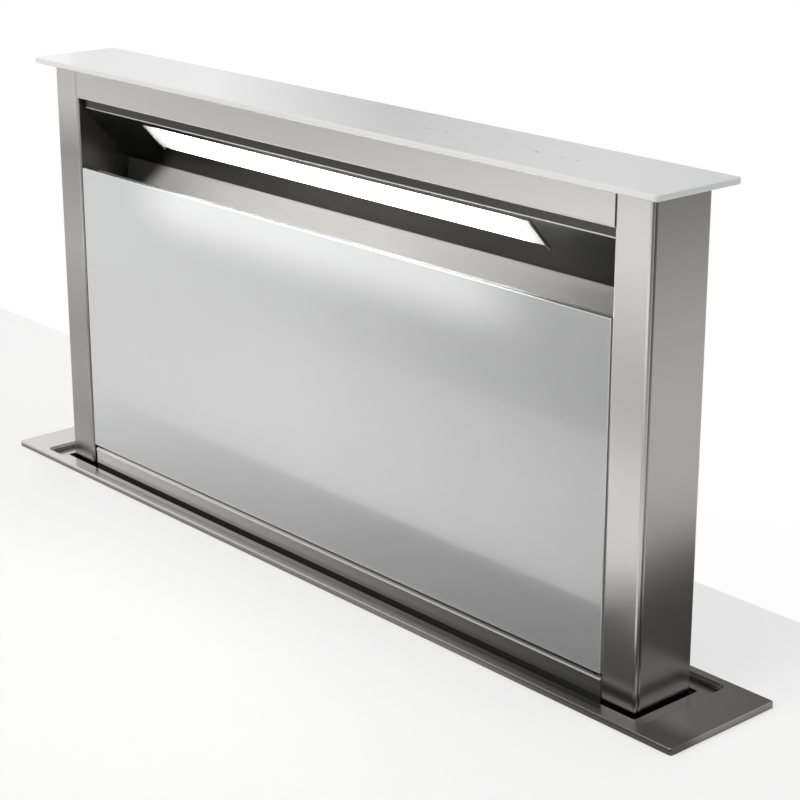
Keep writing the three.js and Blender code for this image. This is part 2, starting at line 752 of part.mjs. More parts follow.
function frontPanelGlass() {
  const middle = (glassTop + glassBottom) / 2;
  const group = groupAt(model, 0, 0, middle);
  const outline = rounded(2 * (glassEnd - glassArris), glassHeight - 2 * glassArris, lidArris);
  const glass = alongY(outline, glassFront + glassArris, glassBack - glassArris, {
    bevelEnabled: true, bevelThickness: glassArris, bevelSize: glassArris, bevelSegments: 1,
  });
  place(group, 'front_glass', glass, whiteGlass);

  const half = glassHeight / 2 - panInset;
  const shell = box(-panEnd, panEnd, panFront, panBack, -half, half);
  const hollow = box(-panEnd + sheet, panEnd - sheet, glassFront, panBack - sheet,
    -half + sheet, half - sheet);
  const eyeZ = hingeHeight - middle;
  const eyes = [-1, 1].flatMap((side) => {
    const [near, far] = [side * (panEnd - hingeEyeWidth), side * panEnd];
    const [x0, x1] = [Math.min(near, far), Math.max(near, far)];
    return [
      rodX(hingeEyeRadius, x0, x1, hingeY, eyeZ),
      box(x0, x1, hingeY + sheet / 2, hingeY + hingeEyeRadius + sheet, eyeZ, -half + sheet / 2),
    ];
  });
  const bore = rodX(hingePinRadius + seat, -towerEnd, towerEnd, hingeY, eyeZ, 16);
  place(group, 'glass_pan', cut(joined(cut(shell, hollow), ...eyes), bore), zinc);

  for (const [name, side] of ends) {
    const inner = panEnd - hingeEyeWidth - sheet;
    const outer = postInner + sheet + hingePinReach;
    const pin = rodX(hingePinRadius, inner, outer, hingeY, eyeZ, 16);
    place(group, `hinge_pin_${name}`, mirroredX(pin, side), steel);
  }
}

// ---------------------------------------------------------------- lift drive

const pinionInner = rackInner + seat + seat;
const degrees = (angle) => angle * Math.PI / 180;

// an involute tooth ring seen from its end, with one tooth on the +Y side
function pinionOutline() {
  const root = pitchRadius - dedendum * gearModule;
  const tip = pitchRadius + gearModule - seat;
  const base = pitchRadius * Math.cos(degrees(pressureAngle));
  const involute = (angle) => Math.tan(angle) - angle;
  const halfTooth = Math.PI / (2 * pinionTeeth) + involute(degrees(pressureAngle));
  const halfAt = (radius) => halfTooth - involute(Math.acos(Math.min(1, base / radius)));
  const flank = [root, base, pitchRadius, tip];
  const points = [];
  for (let tooth = 0; tooth < pinionTeeth; tooth += 1) {
    const middle = 2 * Math.PI * tooth / pinionTeeth;
    const rising = flank.map((radius) => [radius, middle - halfAt(Math.max(radius, base))]);
    const falling = flank.map((radius) => [radius, middle + halfAt(Math.max(radius, base))]);
    points.push(...rising, ...falling.reverse());
  }
  return points.map(([radius, angle]) => [radius * Math.cos(angle), radius * Math.sin(angle)]);
}

function pinion(side) {
  const teeth = alongX(shapeOf(pinionOutline()), pinionInner, pinionInner + pinionWidth);
  const hubEnd = pinionInner + pinionWidth + pinionHubWidth;
  const hub = rodX(pinionHubRadius, pinionInner + sheet, hubEnd, 0, 0);
  const bore = rodX(shaftRadius + seat, 0, chassisLength, 0, 0);
  return mirroredX(cut(joined(teeth, hub), bore), side);
}

function carriagePlate(side) {
  const start = towerEnd + seat;
  const outline = rounded(carriageRear - carriageFront, carriageTop - towerBottom, bend);
  const plate = alongX(outline, start, start + carriageThickness)
    .translate(0, (carriageRear + carriageFront) / 2, (carriageTop + towerBottom) / 2);
  return mirroredX(cut(plate, rodX(bushHole, 0, chassisLength, shaftY, shaftHeight)), side);
}

function shaftBush(side) {
  const [inner, outer] = [towerEnd - 3 * sheet, towerEnd + carriageThickness + 2 * seat];
  const bore = shaftRadius + seat;
  const sleeve = turned([[bore, inner], [bushRadius, inner], [bushRadius, outer],
    [bushFlange, outer], [bushFlange, outer + bushFlangeWidth], [bore, outer + bushFlangeWidth]], 16);
  return mirroredX(sleeve.rotateZ(-Math.PI / 2).translate(0, shaftY, shaftHeight), side);
}

function guideShoe(side) {
  const [mouth, back] = [sideInner - seat - guideDepth, sideInner - seat];
  const half = railWidth / 2 - guideSheet - seat;
  const [low, high] = [shaftHeight - shoeHeight / 2, shaftHeight + shoeHeight / 2];
  const head = box(mouth + guideSheet + seat, back - guideSheet - seat,
    guideY - half, guideY + half, low, high);
  const neck = box(towerEnd + carriageThickness + 2 * seat, mouth + guideSheet + 2 * seat,
    guideY - shoeNeck / 2, guideY + shoeNeck / 2, low, high);
  return mirroredX(joined(head, neck), side);
}

function liftDrive() {
  for (const [name, side] of ends) {
    place(tower, `carriage_plate_${name}`, carriagePlate(side), zinc);
    place(tower, `shaft_bush_${name}`, shaftBush(side), blackPlastic);
    place(tower, `guide_shoe_${name}`, guideShoe(side), whitePlastic);
  }

  const beamY = shaftY + gearboxRadius + seat;
  const beamTop = -railDrop - bushFlange + bend;
  const beam = folded([[beamY + beamFlange, beamTop], [beamY, beamTop], [beamY, towerBottom]],
    { thickness: beamThickness, radius: beamBend });
  place(tower, 'carriage_beam', alongX(beam, -betweenPosts, betweenPosts), zinc);

  const [half, r] = [gearboxWidth / 2, gearboxRadius];
  const outline = new THREE.Shape();
  outline.absarc(0, 0, r, 0, Math.PI);
  outline.absarc(0, -motorDrop, r, Math.PI, 2 * Math.PI);
  outline.holes.push(new THREE.Path().absarc(0, 0, shaftRadius + seat, 0, 2 * Math.PI));
  const gearbox = groupAt(tower, 0, shaftY, shaftHeight);
  place(gearbox, 'lift_gearbox', alongX(outline, -half, half, { curveSegments: 8 }), blackPlastic);

  const capStart = motorLength - motorCapLength;
  const motor = turned([[0, seat], [motorRadius, seat], [motorRadius, capStart],
    [motorRadius - sheet, capStart], [motorRadius - sheet, motorLength - bend],
    [motorRadius - 2 * bend, motorLength], [0, motorLength]], 24);
  place(gearbox, 'lift_motor',
    motor.rotateZ(-Math.PI / 2).translate(half, 0, -motorDrop), darkSteel);

  const drive = groupAt(model, 0, shaftY, shaftHeight);
  const shaftEnd = pinionInner + pinionWidth + pinionHubWidth;
  place(drive, 'drive_shaft', rodX(shaftRadius, -shaftEnd, shaftEnd, 0, 0), steel);
  for (const [name, side] of ends) {
    place(drive, `pinion_${name}`, pinion(side), whitePlastic);
  }
}

// ---------------------------------------------------------------- blower

// The blower's scroll seen from the front, round its own axis: a spiral that opens from the
// tongue, once round, into a straight outlet to the left. inset shrinks or grows it.
function scrollOutline(inset, outlet) {
  const tongueDrop = scrollStart * Math.sin(degrees(180 + scrollTongue));
  const start = Math.asin((tongueDrop + inset) / (scrollStart - inset)) * 180 / Math.PI - 180;
  const sweep = 270 + 180 + scrollTongue;
  const turns = 24;
  const points = [];
  for (let k = 0; k <= turns; k += 1) {
    const angle = start + (-450 - start) * k / turns;
    const opened = (scrollTongue - angle) / sweep;
    const radius = scrollStart + (scrollEnd - scrollStart) * Math.max(0, opened) - inset;
    points.push([radius * Math.cos(degrees(angle)), radius * Math.sin(degrees(angle))]);
  }
  points.push([-outlet, -scrollEnd + inset], [-outlet, -tongueDrop - inset]);
  return shapeOf(points);
}

function impeller() {
  const [back, front] = [-scrollDepth + 3 * scrollWall, -scrollDepth + 3 * scrollWall + impellerWidth];
  const bore = blowerShaftRadius + seat;
  const inner = impellerRadius - bladeDepth;
  const disc = turned([[bore, back], [impellerRadius, back], [impellerRadius, back + scrollWall],
    [inner / 2, back + scrollWall], [3 * bore, back + inner / 3], [bore, back + inner / 3]], 36);
  const rim = turned([[inner, front - 2 * scrollWall], [impellerRadius, front - 2 * scrollWall],
    [impellerRadius, front - scrollWall], [inner + bend, front], [inner, front]], 36);
  const along = [0, 0.5, 1];
  const bladeEdge = (side) => along.map((t) => {
    const radius = inner + 0.5 + (bladeDepth - 1) * t;
    const angle = (bladeCurve * t * t + side * bladeThickness / 2) / radius;
    return [radius * Math.cos(angle), radius * Math.sin(angle)];
  });
  const blade = shapeOf([...bladeEdge(-1), ...bladeEdge(1).reverse()]);
  const blades = Array.from({ length: impellerBlades }, (_, i) =>
    alongY(blade, back + scrollWall / 2, front - 1.5 * scrollWall)
      .rotateY(2 * Math.PI * i / impellerBlades));
  return joined(disc, rim, ...blades);
}

function blowerMotor(back) {
  const bore = blowerShaftRadius + seat;
  const foot = mountRingRadius - 2 * scrollWall - seat;
  const end = back - blowerMotorLength;
  const core = turned([[0, back], [foot, back], [foot, back - scrollWall],
    [blowerMotorRadius - bend, back - scrollWall],
    [blowerMotorRadius - bend, end + bend], [blowerMotorRadius - 4 * bend, end], [0, end]], 28);
  const step = Math.PI / blowerMotorFins;
  const fins = Array.from({ length: 2 * blowerMotorFins }, (_, i) => {
    const radius = i % 2 ? blowerMotorRadius : blowerMotorRadius - 2 * bend;
    return [[radius, (i - 0.45) * step], [radius, (i + 0.45) * step]];
  }).flat().map(([radius, angle]) => [radius * Math.cos(angle), radius * Math.sin(angle)]);
  const finned = joined(core, alongY(shapeOf(fins), end + 2 * bend, back - mountHeight));
  return cut(finned, rodY(bore, back - 3 * bore, back + seat, 0, 0, 20));
}

function blower() {
  const group = groupAt(model, blowerX, -panelFace - seat, blowerZ);

  const shell = alongY(scrollOutline(0, scrollOutlet), -scrollDepth, 0);
  const flange = alongY(scrollOutline(-scrollFlange, scrollOutlet), -scrollDepth,
    -scrollDepth + scrollWall);
  const hollow = alongY(scrollOutline(scrollWall, scrollOutlet + scrollFlange),
    -scrollDepth - scrollWall, -scrollWall);
  const inlet = rodY(inletRadius, -2 * scrollWall, scrollWall, 0, 0, 36);
  place(group, 'blower_scroll', cut(joined(shell, flange), hollow, inlet), blackPlastic);

  const plateBack = -scrollDepth - seat;
  const plateFront = plateBack - scrollWall;
  const plate = alongY(scrollOutline(-scrollFlange, scrollOutlet), plateFront, plateBack);
  const mount = turned([[mountRingRadius - 2 * scrollWall, plateFront - mountHeight],
    [mountRingRadius, plateFront - mountHeight], [mountRingRadius, plateBack],
    [mountRingRadius - 2 * scrollWall, plateBack]], 36);
  const shaftHole = rodY(2 * blowerShaftRadius, -2 * scrollDepth, 0, 0, 0, 24);
  place(group, 'scroll_cover', cut(joined(plate, mount), shaftHole), blackPlastic);

  const lip = inletRadius - 2 * seat;
  const bell = turned([[lip, sheet + 2 * seat], [lip + 4 * bend, sheet + 2 * seat],
    [lip + 4 * bend, 2 * sheet + 2 * seat], [lip + seat, 2 * sheet + 2 * seat],
    [lip - sheet, 0], [lip - bend, -3 * scrollWall], [lip - bend + 1, -3 * scrollWall]], 30);
  place(group, 'inlet_ring', bell, zinc);

  place(group, 'blower_impeller', impeller(), blackPlastic);
  const motorBack = plateFront - seat;
  const shaftIn = motorBack - 3 * blowerShaftRadius;
  const shaftOut = -scrollDepth + 3 * scrollWall + impellerRadius / 4;
  place(group, 'impeller_shaft', rodY(blowerShaftRadius, shaftIn, shaftOut, 0, 0, 20), steel);
  place(group, 'blower_motor', blowerMotor(motorBack), darkSteel);
}

// ---------------------------------------------------------------- duct

// a solid between two closed outlines in Y and Z that have the same number of points
function loft(near, far, x0, x1) {
  const count = near.length;
  const positions = [...near.map(([y, z]) => [x0, y, z]), ...far.map(([y, z]) => [x1, y, z])];
  const index = [];
  for (let i = 0; i < count; i += 1) {
    const next = (i + 1) % count;
    index.push(i, next, i + count, next, next + count, i + count);
    if (i > 1) index.push(0, i, i - 1, count, count + i - 1, count + i);
  }
  const geometry = new THREE.BufferGeometry();
  geometry.setAttribute('position', new THREE.Float32BufferAttribute(positions.flat(), 3));
  geometry.setIndex(index);
  return geometry;
}

function adapterOutlines(inset) {
  const [perSide, sides] = [6, 4];
  const top = blowerZ - scrollStart * Math.sin(degrees(180 + scrollTongue)) - inset;
  const bottom = blowerZ - scrollEnd + inset;
  const back = -panelFace - seat - inset;
  const front = -panelFace - seat - scrollDepth + inset;
  const corners = [[back, bottom], [back, top], [front, top], [front, bottom]];
  const square = [];
  const round = [];
  for (let side = 0; side < sides; side += 1) {
    const [y0, z0] = corners[side];
    const [y1, z1] = corners[(side + 1) % sides];
    for (let k = 0; k < perSide; k += 1) {
      const t = k / perSide;
      const angle = degrees(-45 + 90 * (side + t));
      const radius = ductRadius - inset;
      square.push([y0 + (y1 - y0) * t, z0 + (z1 - z0) * t]);
      round.push([ductY + radius * Math.cos(angle), ductZ + radius * Math.sin(angle)]);
    }
  }
  return [round, square];
}

// half of the duct's disc beside the pin, with knuckles on the pin; side is -1 to the front
function flap(side, knuckles) {
  const [radius, edge] = [ductRadius - ductWall - flapGap, knuckleRadius + running];
  const limit = Math.acos(edge / radius);
  const steps = 12;
  const arc = Array.from({ length: steps + 1 }, (_, i) => {
    const angle = limit * (2 * i / steps - 1);
    return [radius * Math.cos(angle), radius * Math.sin(angle)];
  });
  const half = flapThickness / 2;
  const leaf = alongX(shapeOf(arc), -half, half);
  const sleeves = knuckles.flatMap((z) => {
    const [low, high] = [z - knuckleHeight / 2, z + knuckleHeight / 2];
    return [rodZ(knuckleRadius, low, high, 0, 0), box(-half, half, 0, edge + 1, low, high)];
  });
  const bore = rodZ(flapPinRadius + seat, -radius, radius, 0, 0);
  return cut(joined(leaf, ...sleeves), bore).rotateZ(side > 0 ? 0 : Math.PI);
}

function duct() {
  const adapterStart = blowerX - scrollOutlet - seat;
  const adapterEnd = adapterStart - adapterLength;
  const outside = loft(...adapterOutlines(0), adapterEnd, adapterStart);
  const inside = loft(...adapterOutlines(ductWall), adapterEnd - seat, adapterStart + seat);
  place(model, 'duct_adapter', cut(outside, inside), blackPlastic);

  const collar = groupAt(model, adapterEnd - seat, ductY, ductZ);
  const inner = ductRadius - ductWall;
  const bead = ductLength - 4 * ductBead;
  const tube = turned([[inner, 0], [ductRadius, 0], [ductRadius, bead - ductBead],
    [ductRadius + ductBead, bead], [ductRadius, bead + ductBead], [ductRadius, ductLength],
    [inner, ductLength]], 32).rotateZ(Math.PI / 2);
  const flapX = flapAt - ductLength;
  const reach = ductRadius - ductWall / 2;
  const pin = rodZ(flapPinRadius, -reach, reach, flapX, 0);
  place(collar, 'duct_collar', joined(tube, pin), blackPlastic);

  const flaps = groupAt(collar, flapX, 0, 0);
  const outerKnuckles = 1.5 * knuckleHeight;
  place(flaps, 'backdraft_flap_front', flap(-1, [-outerKnuckles, outerKnuckles]), greyPlastic);
  place(flaps, 'backdraft_flap_rear', flap(1, [0]), greyPlastic);
}

// ---------------------------------------------------------------- electronics

function controlBox() {
  const group = groupAt(model, boxX, -panelFace - seat, boxZ);
  const outline = rounded(boxLength, boxHeight, boxCorner);
  const room = rounded(boxLength - 2 * boxWall, boxHeight - 2 * boxWall, boxCorner - boxWall);
  const low = -boxHeight / 2;
  const entry = rodZ(glandRadius / 2 + seat, low - boxWall, low + 2 * boxWall, 0, -boxDepth / 2);
  const hollow = alongY(room, -boxDepth - boxWall, -boxWall);
  place(group, 'control_box', cut(alongY(outline, -boxDepth, 0), hollow, entry), greyPlastic);

  const lidBack = -boxDepth - seat;
  const ribs = Array.from({ length: coverRibs }, (_, i) => {
    const x = (i - (coverRibs - 1) / 2) * boxLength / (coverRibs + 2);
    return box(x - boxWall / 2, x + boxWall / 2, lidBack - coverThickness - boxWall,
      lidBack - coverThickness / 2, low / 2, -low / 2);
  });
  place(group, 'control_box_cover',
    joined(alongY(outline, lidBack - coverThickness, lidBack), ...ribs), greyPlastic);

  // the gland hangs under the box: a stem through its floor, a six-sided nut and a round nose
  const gland = groupAt(group, 0, -boxDepth / 2, low - seat);
  const stem = rodZ(glandRadius / 2, -seat, 2 * boxWall, 0, 0);
  const nut = rodZ(glandRadius, -glandNut, 0, 0, 0, 6);
  const nose = turned([[0, glandNut - seat], [glandRadius - 1, glandNut - seat],
    [glandRadius - 1, glandShoulder], [glandNose, glandLength], [0, glandLength]], 12)
    .rotateX(-Math.PI / 2);
  const bore = rodZ(glandBore / 2, -2 * glandLength, glandLength, 0, 0);
  place(gland, 'mains_gland', cut(joined(stem, nut, nose), bore), blackPlastic);
}

worktopFrame();
chassis();
towerShell();
lid();
intake();
filters();
frontPanelGlass();
liftDrive();
blower();
duct();
controlBox();

export default model;
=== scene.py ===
"""The looks of a pop-up downdraft vent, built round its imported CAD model.

Metres, +Z up, X along the tower, -Y towards the cook; z = 0 is the worktop's surface.
The unit is shown set in a slab of worktop, raised, with its chassis and blower below.
"""

import json
import math

import bmesh
import bpy
from mathutils import Matrix, Vector


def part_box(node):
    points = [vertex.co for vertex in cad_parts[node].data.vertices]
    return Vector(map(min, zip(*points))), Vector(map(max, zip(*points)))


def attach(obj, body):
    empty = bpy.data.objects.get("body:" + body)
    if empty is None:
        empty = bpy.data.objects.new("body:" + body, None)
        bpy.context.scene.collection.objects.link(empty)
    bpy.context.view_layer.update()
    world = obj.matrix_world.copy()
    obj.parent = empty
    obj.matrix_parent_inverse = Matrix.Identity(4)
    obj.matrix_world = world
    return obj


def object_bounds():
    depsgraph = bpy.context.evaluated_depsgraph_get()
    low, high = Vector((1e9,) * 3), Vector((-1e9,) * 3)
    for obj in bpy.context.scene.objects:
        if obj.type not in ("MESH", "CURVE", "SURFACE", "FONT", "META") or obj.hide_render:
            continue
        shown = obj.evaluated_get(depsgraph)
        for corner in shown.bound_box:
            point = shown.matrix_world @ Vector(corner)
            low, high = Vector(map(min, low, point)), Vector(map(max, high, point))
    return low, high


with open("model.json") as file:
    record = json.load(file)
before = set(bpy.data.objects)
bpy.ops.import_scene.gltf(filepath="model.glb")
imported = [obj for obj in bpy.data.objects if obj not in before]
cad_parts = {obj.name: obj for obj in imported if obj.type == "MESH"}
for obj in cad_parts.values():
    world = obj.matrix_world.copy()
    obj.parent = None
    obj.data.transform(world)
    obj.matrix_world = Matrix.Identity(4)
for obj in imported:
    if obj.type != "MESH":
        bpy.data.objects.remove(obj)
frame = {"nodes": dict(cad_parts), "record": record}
cad_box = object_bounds()
nodes = frame["nodes"]


# ------------------------------------------------------------------ places on the CAD model

post_low, post_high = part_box("post_right")
POST_INNER, TOWER_FRONT, POST_TOP = post_low.x, post_low.y, post_high.z
STEP_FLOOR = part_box("worktop_frame")[1].z - 0.0017   # floor of the frame's stepped recess
LAMP_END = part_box("light_diffuser")[1].x
CANOPY_DROP = 0.0535                                 # height over which the canopy slopes down


# ------------------------------------------------------------------ node trees

MIX_A, MIX_B, MIX_RESULT = 6, 7, 2    # places of a Mix node's sockets for colours
LEVEL = (1, 1, 0)                     # a stretch that leaves the height out


class Tree:
    """A material's or the world's node tree, with short ways to add and join nodes."""

    def __init__(self, owner):
        owner.use_nodes = True
        self.tree = owner.node_tree
        self.tree.nodes.clear()

    def join(self, socket, value):
        """Feeds a socket with the output of another node, a number or a colour."""
        if isinstance(value, bpy.types.NodeSocket):
            self.tree.links.new(value, socket)
        else:
            socket.default_value = value

    def add(self, kind, inputs=None, **settings):
        """A new node, with its inputs by name or by place."""
        node = self.tree.nodes.new(kind)
        for name, value in settings.items():
            setattr(node, name, value)
        for name, value in (inputs or {}).items():
            self.join(node.inputs[name], value)
        return node

    def maths(self, operation, a, b=0.0, clamp=False):
        """One step of arithmetic on one or two values."""
        node = self.add("ShaderNodeMath", {0: a, 1: b}, operation=operation, use_clamp=clamp)
        return node.outputs[0]

    def times(self, product, *factors):
        """The product of all the values given."""
        for factor in factors:
            product = self.maths("MULTIPLY", product, factor)
        return product

    def highest(self, most, *others):
        """The highest of all the values given."""
        for other in others:
            most = self.maths("MAXIMUM", most, other)
        return most

    def span(self, value, start, end, to=(0.0, 1.0), curve="LINEAR"):
        """Reads a value as 0 at start and 1 at end, or as what `to` says. It stays level past them."""
        node = self.add("ShaderNodeMapRange", {
            "Value": value, "From Min": start, "From Max": end, "To Min": to[0], "To Max": to[1]},
            interpolation_type=curve)
        return node.outputs[0]

    def ramp(self, factor, stops):
        """A grey level that follows a factor from 0 to 1, through stops of (factor, level)."""
        node = self.add("ShaderNodeValToRGB", {"Fac": factor})
        ramp = node.color_ramp
        while len(ramp.elements) < len(stops):
            ramp.elements.new(0.5)
        for element, (at, level) in zip(ramp.elements, stops):
            element.position = at
            element.color = (level, level, level, 1)
        return node.outputs["Color"]

    def place(self, stretch=(1, 1, 1)):
        """The point's place with the unit at rest, stretched along the axes."""
        coordinates = self.add("ShaderNodeTexCoord").outputs["Object"]
        mapping = self.add("ShaderNodeMapping", {"Vector": coordinates, "Scale": stretch})
        return mapping.outputs["Vector"]

    def axes(self, vector=None):
        """The X, Y and Z of a vector, or else of the point's place."""
        if vector is None:
            vector = self.place()
        return self.add("ShaderNodeSeparateXYZ", {"Vector": vector}).outputs

    def noise(self, scale, stretch=(1, 1, 1), detail=4.0, roughness=0.55):
        """Soft noise by the point's place, from 0 to 1 and mostly near a half."""
        node = self.add("ShaderNodeTexNoise", {
            "Vector": self.place(stretch), "Scale": scale, "Detail": detail, "Roughness": roughness})
        return node.outputs["Fac"]

    def mixed(self, factor, a, b):
        """The colour a where the factor is 0, and b where it is 1."""
        node = self.add("ShaderNodeMix", {"Factor": factor}, data_type="RGBA")
        for place, color in ((MIX_A, a), (MIX_B, b)):
            linked = isinstance(color, bpy.types.NodeSocket)
            self.join(node.inputs[place], color if linked else (*color, 1))
        return node.outputs[MIX_RESULT]

    def bump(self, height, strength, distance, edge_radius):
        """The surface's normal with a relief on it, and with the shape's edges rounded a little."""
        edge = self.add("ShaderNodeBevel", {"Radius": edge_radius}, samples=4).outputs["Normal"]
        node = self.add("ShaderNodeBump", {
            "Height": height, "Strength": strength, "Distance": distance, "Normal": edge})
        return node.outputs["Normal"]


def material(name):
    """A new material and its empty tree."""
    made = bpy.data.materials.new(name)
    return made, Tree(made)


def finish_surface(tree, **inputs):
    """Ends a material in one shader. Its inputs are the shader's, with _ for each space."""
    named = {key.replace("_", " "): value for key, value in inputs.items()}
    shader = tree.add("ShaderNodeBsdfPrincipled", named)
    tree.add("ShaderNodeOutputMaterial", {"Surface": shader.outputs[0]})


def tint(color, factor):
    """A colour made lighter or darker, with none of its channels over 1."""
    return tuple(min(1.0, c * factor) for c in color)


# ------------------------------------------------------------------ painted shade
# Painted shade: each function here gives how much a surface is darkened at a point, by its place,
# standing for shade and for darker reflections: 0 for none and 1 for all of it.

FOOT_FADE = 0.0004        # height over which the painted shadow at the tower's foot ends
POST_FOOT = 0.0018        # how high it reaches on the posts
SHEET_FOOT = 0.0012       # how high it reaches on the side covers and the rail
CHEEK_SKIN = 0.0022       # what lies nearer to a post's inner wall is its cheek
CHEEK_SET_BACK = 0.0025   # from the tower's front to the start of the cheek
COVER_CORNER = 0.0062     # from the tower's front to the end of a side cover's rounded corner
COVER_SEAM = 0.0045       # from the tower's front to where that corner is darkest
FRAME_BOTTOM = 0.0003     # what is lower is the frame's underside
STEP_FADE = 0.0008        # depth over which the painted shade in the frame's recess grows
LAMP_SLANT = 1.2          # slant of the lit part's left end on the rear sheet, x over z
LAMP_SLANT_Z = 0.31       # height through which that end is drawn

# Between which places the factors in the painted shades go from 0 to 1.
BASE_X, RAIL_X = (-0.30, 0.33), (0.34, -0.34)
FRAME_CORNER_X, FRAME_CORNER_Y = (0.10, 0.36), (-0.020, -0.044)
SHEET_LEFT_X, SHEET_RIGHT_X = (-0.258, -0.292), (0.02, 0.36)

# How strong each painted shade is where it is darkest.
FOOT_DARK, CHEEK_DARK, COVER_DARK = 0.97, 0.92, 0.75
BASE_DARK, FRAME_CORNER_DARK, RECESS_DARK = 0.64, 0.30, 0.7
RAIL_DARK, RAIL_CURVE = 0.90, 1.3
SHEET_LEFT_DARK, SHEET_RIGHT_DARK = 0.96, 0.50

# The painted shade down the left post, which darkens its reflections, in stops of (height as a share of
# the post's, level).
LEFT_POST_STOPS = [(0.0, 0.20), (0.12, 0.46), (0.35, 0.50), (0.56, 0.30), (0.80, 0.48), (0.93, 0.02)]
LEFT_POST_GAIN = 1.1


def foot_painted_shadow(t, z, height):
    """Painted shadow, nearly black, at the tower's foot, down where it stands in the worktop frame."""
    return t.times(t.span(z, height + FOOT_FADE, height), FOOT_DARK)


def post_painted_shade(t):
    """Painted shade on the posts' inner walls, where the air goes in, painted shadow at their feet, and
    painted darker reflections down the left one.
    """
    at = t.axes()
    inside = t.maths("LESS_THAN", t.maths("ABSOLUTE", at["X"]), POST_INNER + CHEEK_SKIN)
    behind = t.maths("GREATER_THAN", at["Y"], TOWER_FRONT + CHEEK_SET_BACK)
    cheek = t.times(inside, behind, CHEEK_DARK)
    # Painted shade: the left post's reflections darkened by height.
    painted_dimming = t.ramp(t.maths("DIVIDE", at["Z"], POST_TOP), LEFT_POST_STOPS)
    left = t.times(painted_dimming, t.maths("LESS_THAN", at["X"], 0.0), LEFT_POST_GAIN)
    return t.highest(cheek, left, foot_painted_shadow(t, at["Z"], POST_FOOT))


def cover_corner_painted_shade(t):
    """Painted shade in the rounded corner of a side cover, beside the open seam, and painted shadow at
    its foot.
    """
    at = t.axes()
    into = t.span(at["Y"], TOWER_FRONT + COVER_CORNER, TOWER_FRONT + COVER_SEAM)
    return t.highest(t.times(into, COVER_DARK), foot_painted_shadow(t, at["Z"], SHEET_FOOT))


def base_painted_shade(t):
    """Painted shade for darker reflections, growing from the left end to the right, on the frame and on
    the bottom rail's rim.
    """
    return t.times(t.span(t.axes()["X"], *BASE_X), BASE_DARK)


def rail_painted_shade(t):
    """Painted shade for darker reflections along the bottom rail, fast at its left end and slower to the
    right, and painted shadow at its foot.
    """
    at = t.axes()
    leftwards = t.span(at["X"], *RAIL_X)
    along = t.times(t.maths("SUBTRACT", 1.0, t.maths("POWER", leftwards, RAIL_CURVE)), RAIL_DARK)
    return t.highest(along, foot_painted_shadow(t, at["Z"], SHEET_FOOT))


def frame_painted_shade(t):
    """Painted shade on the frame: darker to the right, most at its front corner, and down in its recess.
    """
    at = t.axes()
    down = t.span(at["Z"], STEP_FLOOR, STEP_FLOOR - STEP_FADE, to=(0.0, RECESS_DARK))
    recess = t.times(down, t.maths("GREATER_THAN", at["Z"], FRAME_BOTTOM))
    front = t.span(at["Y"], *FRAME_CORNER_Y, curve="SMOOTHSTEP")
    right = t.span(at["X"], *FRAME_CORNER_X)
    corner = t.times(front, right, FRAME_CORNER_DARK)
    return t.highest(recess, t.maths("ADD", base_painted_shade(t), corner))


def deflector_painted_shade(t):
    """Painted shade towards the ends of the rear sheet, away from the lamp."""
    at = t.axes()
    aslant = t.times(t.maths("SUBTRACT", at["Z"], LAMP_SLANT_Z), LAMP_SLANT)
    left = t.span(t.maths("SUBTRACT", at["X"], aslant), *SHEET_LEFT_X, curve="SMOOTHSTEP")
    right = t.span(at["X"], *SHEET_RIGHT_X)
    return t.maths("ADD", t.times(left, SHEET_LEFT_DARK), t.times(right, SHEET_RIGHT_DARK), clamp=True)


# ------------------------------------------------------------------ materials

ALONG_GRAIN = 0.012       # how much of its scale the brushing's noise keeps along the grain


def brushed(name, color, grain, rough=0.3, streak=0.035, soft_edge=0.0006, metallic=1.0,
            relief=0.035, shaded=None, shade_brightness=0.12, edge_tint=1.0, uneven=0.02):
    """Brushed sheet. grain is the axis that the brushing runs along: x, y or z.

    streak is how much its lines differ in colour, and uneven how much its roughness varies.
    shaded, if given, is the painted shade on it; the argument after it is how bright the metal is where
    that painted shade is full.
    edge_tint is how much the metal mirrors at a flat angle."""
    made, t = material(name)
    stretch = tuple(ALONG_GRAIN if axis == grain else 1 for axis in "xyz")
    fine = t.noise(3800, stretch, detail=2)
    broad = t.noise(900, stretch, detail=4, roughness=0.6)
    clouds = t.noise(5.0, detail=3)
    lines = t.maths("ADD", t.times(fine, 0.6), t.times(broad, 0.4))
    streaks = t.ramp(lines, [(0.36, 0.0), (0.64, 1.0)])
    patches = t.ramp(clouds, [(0.40, 0.0), (0.65, 0.35)])
    base = t.mixed(streaks, tint(color, 1 - streak), tint(color, 1 + streak))
    base = t.mixed(patches, base, tint(color, 0.93))
    # Painted shade: the colour is darkened where the shaded mask says.
    if shaded:
        base = t.mixed(shaded(t), base, tint(color, shade_brightness))
    blotches = t.maths("ADD", t.times(lines, 0.6), t.times(clouds, 0.4))
    roughness = t.span(blotches, 0.35, 0.65, to=(rough - uneven, rough + uneven))
    tangent = t.add("ShaderNodeTangent", direction_type="RADIAL", axis=grain.upper()).outputs[0]
    finish_surface(t, Base_Color=base, Metallic=metallic, Roughness=roughness, Anisotropic=0.5,
                   Specular_Tint=(edge_tint, edge_tint, edge_tint, 1), Tangent=tangent,
                   Normal=t.bump(lines, relief, distance=0.00012, edge_radius=soft_edge))
    return made


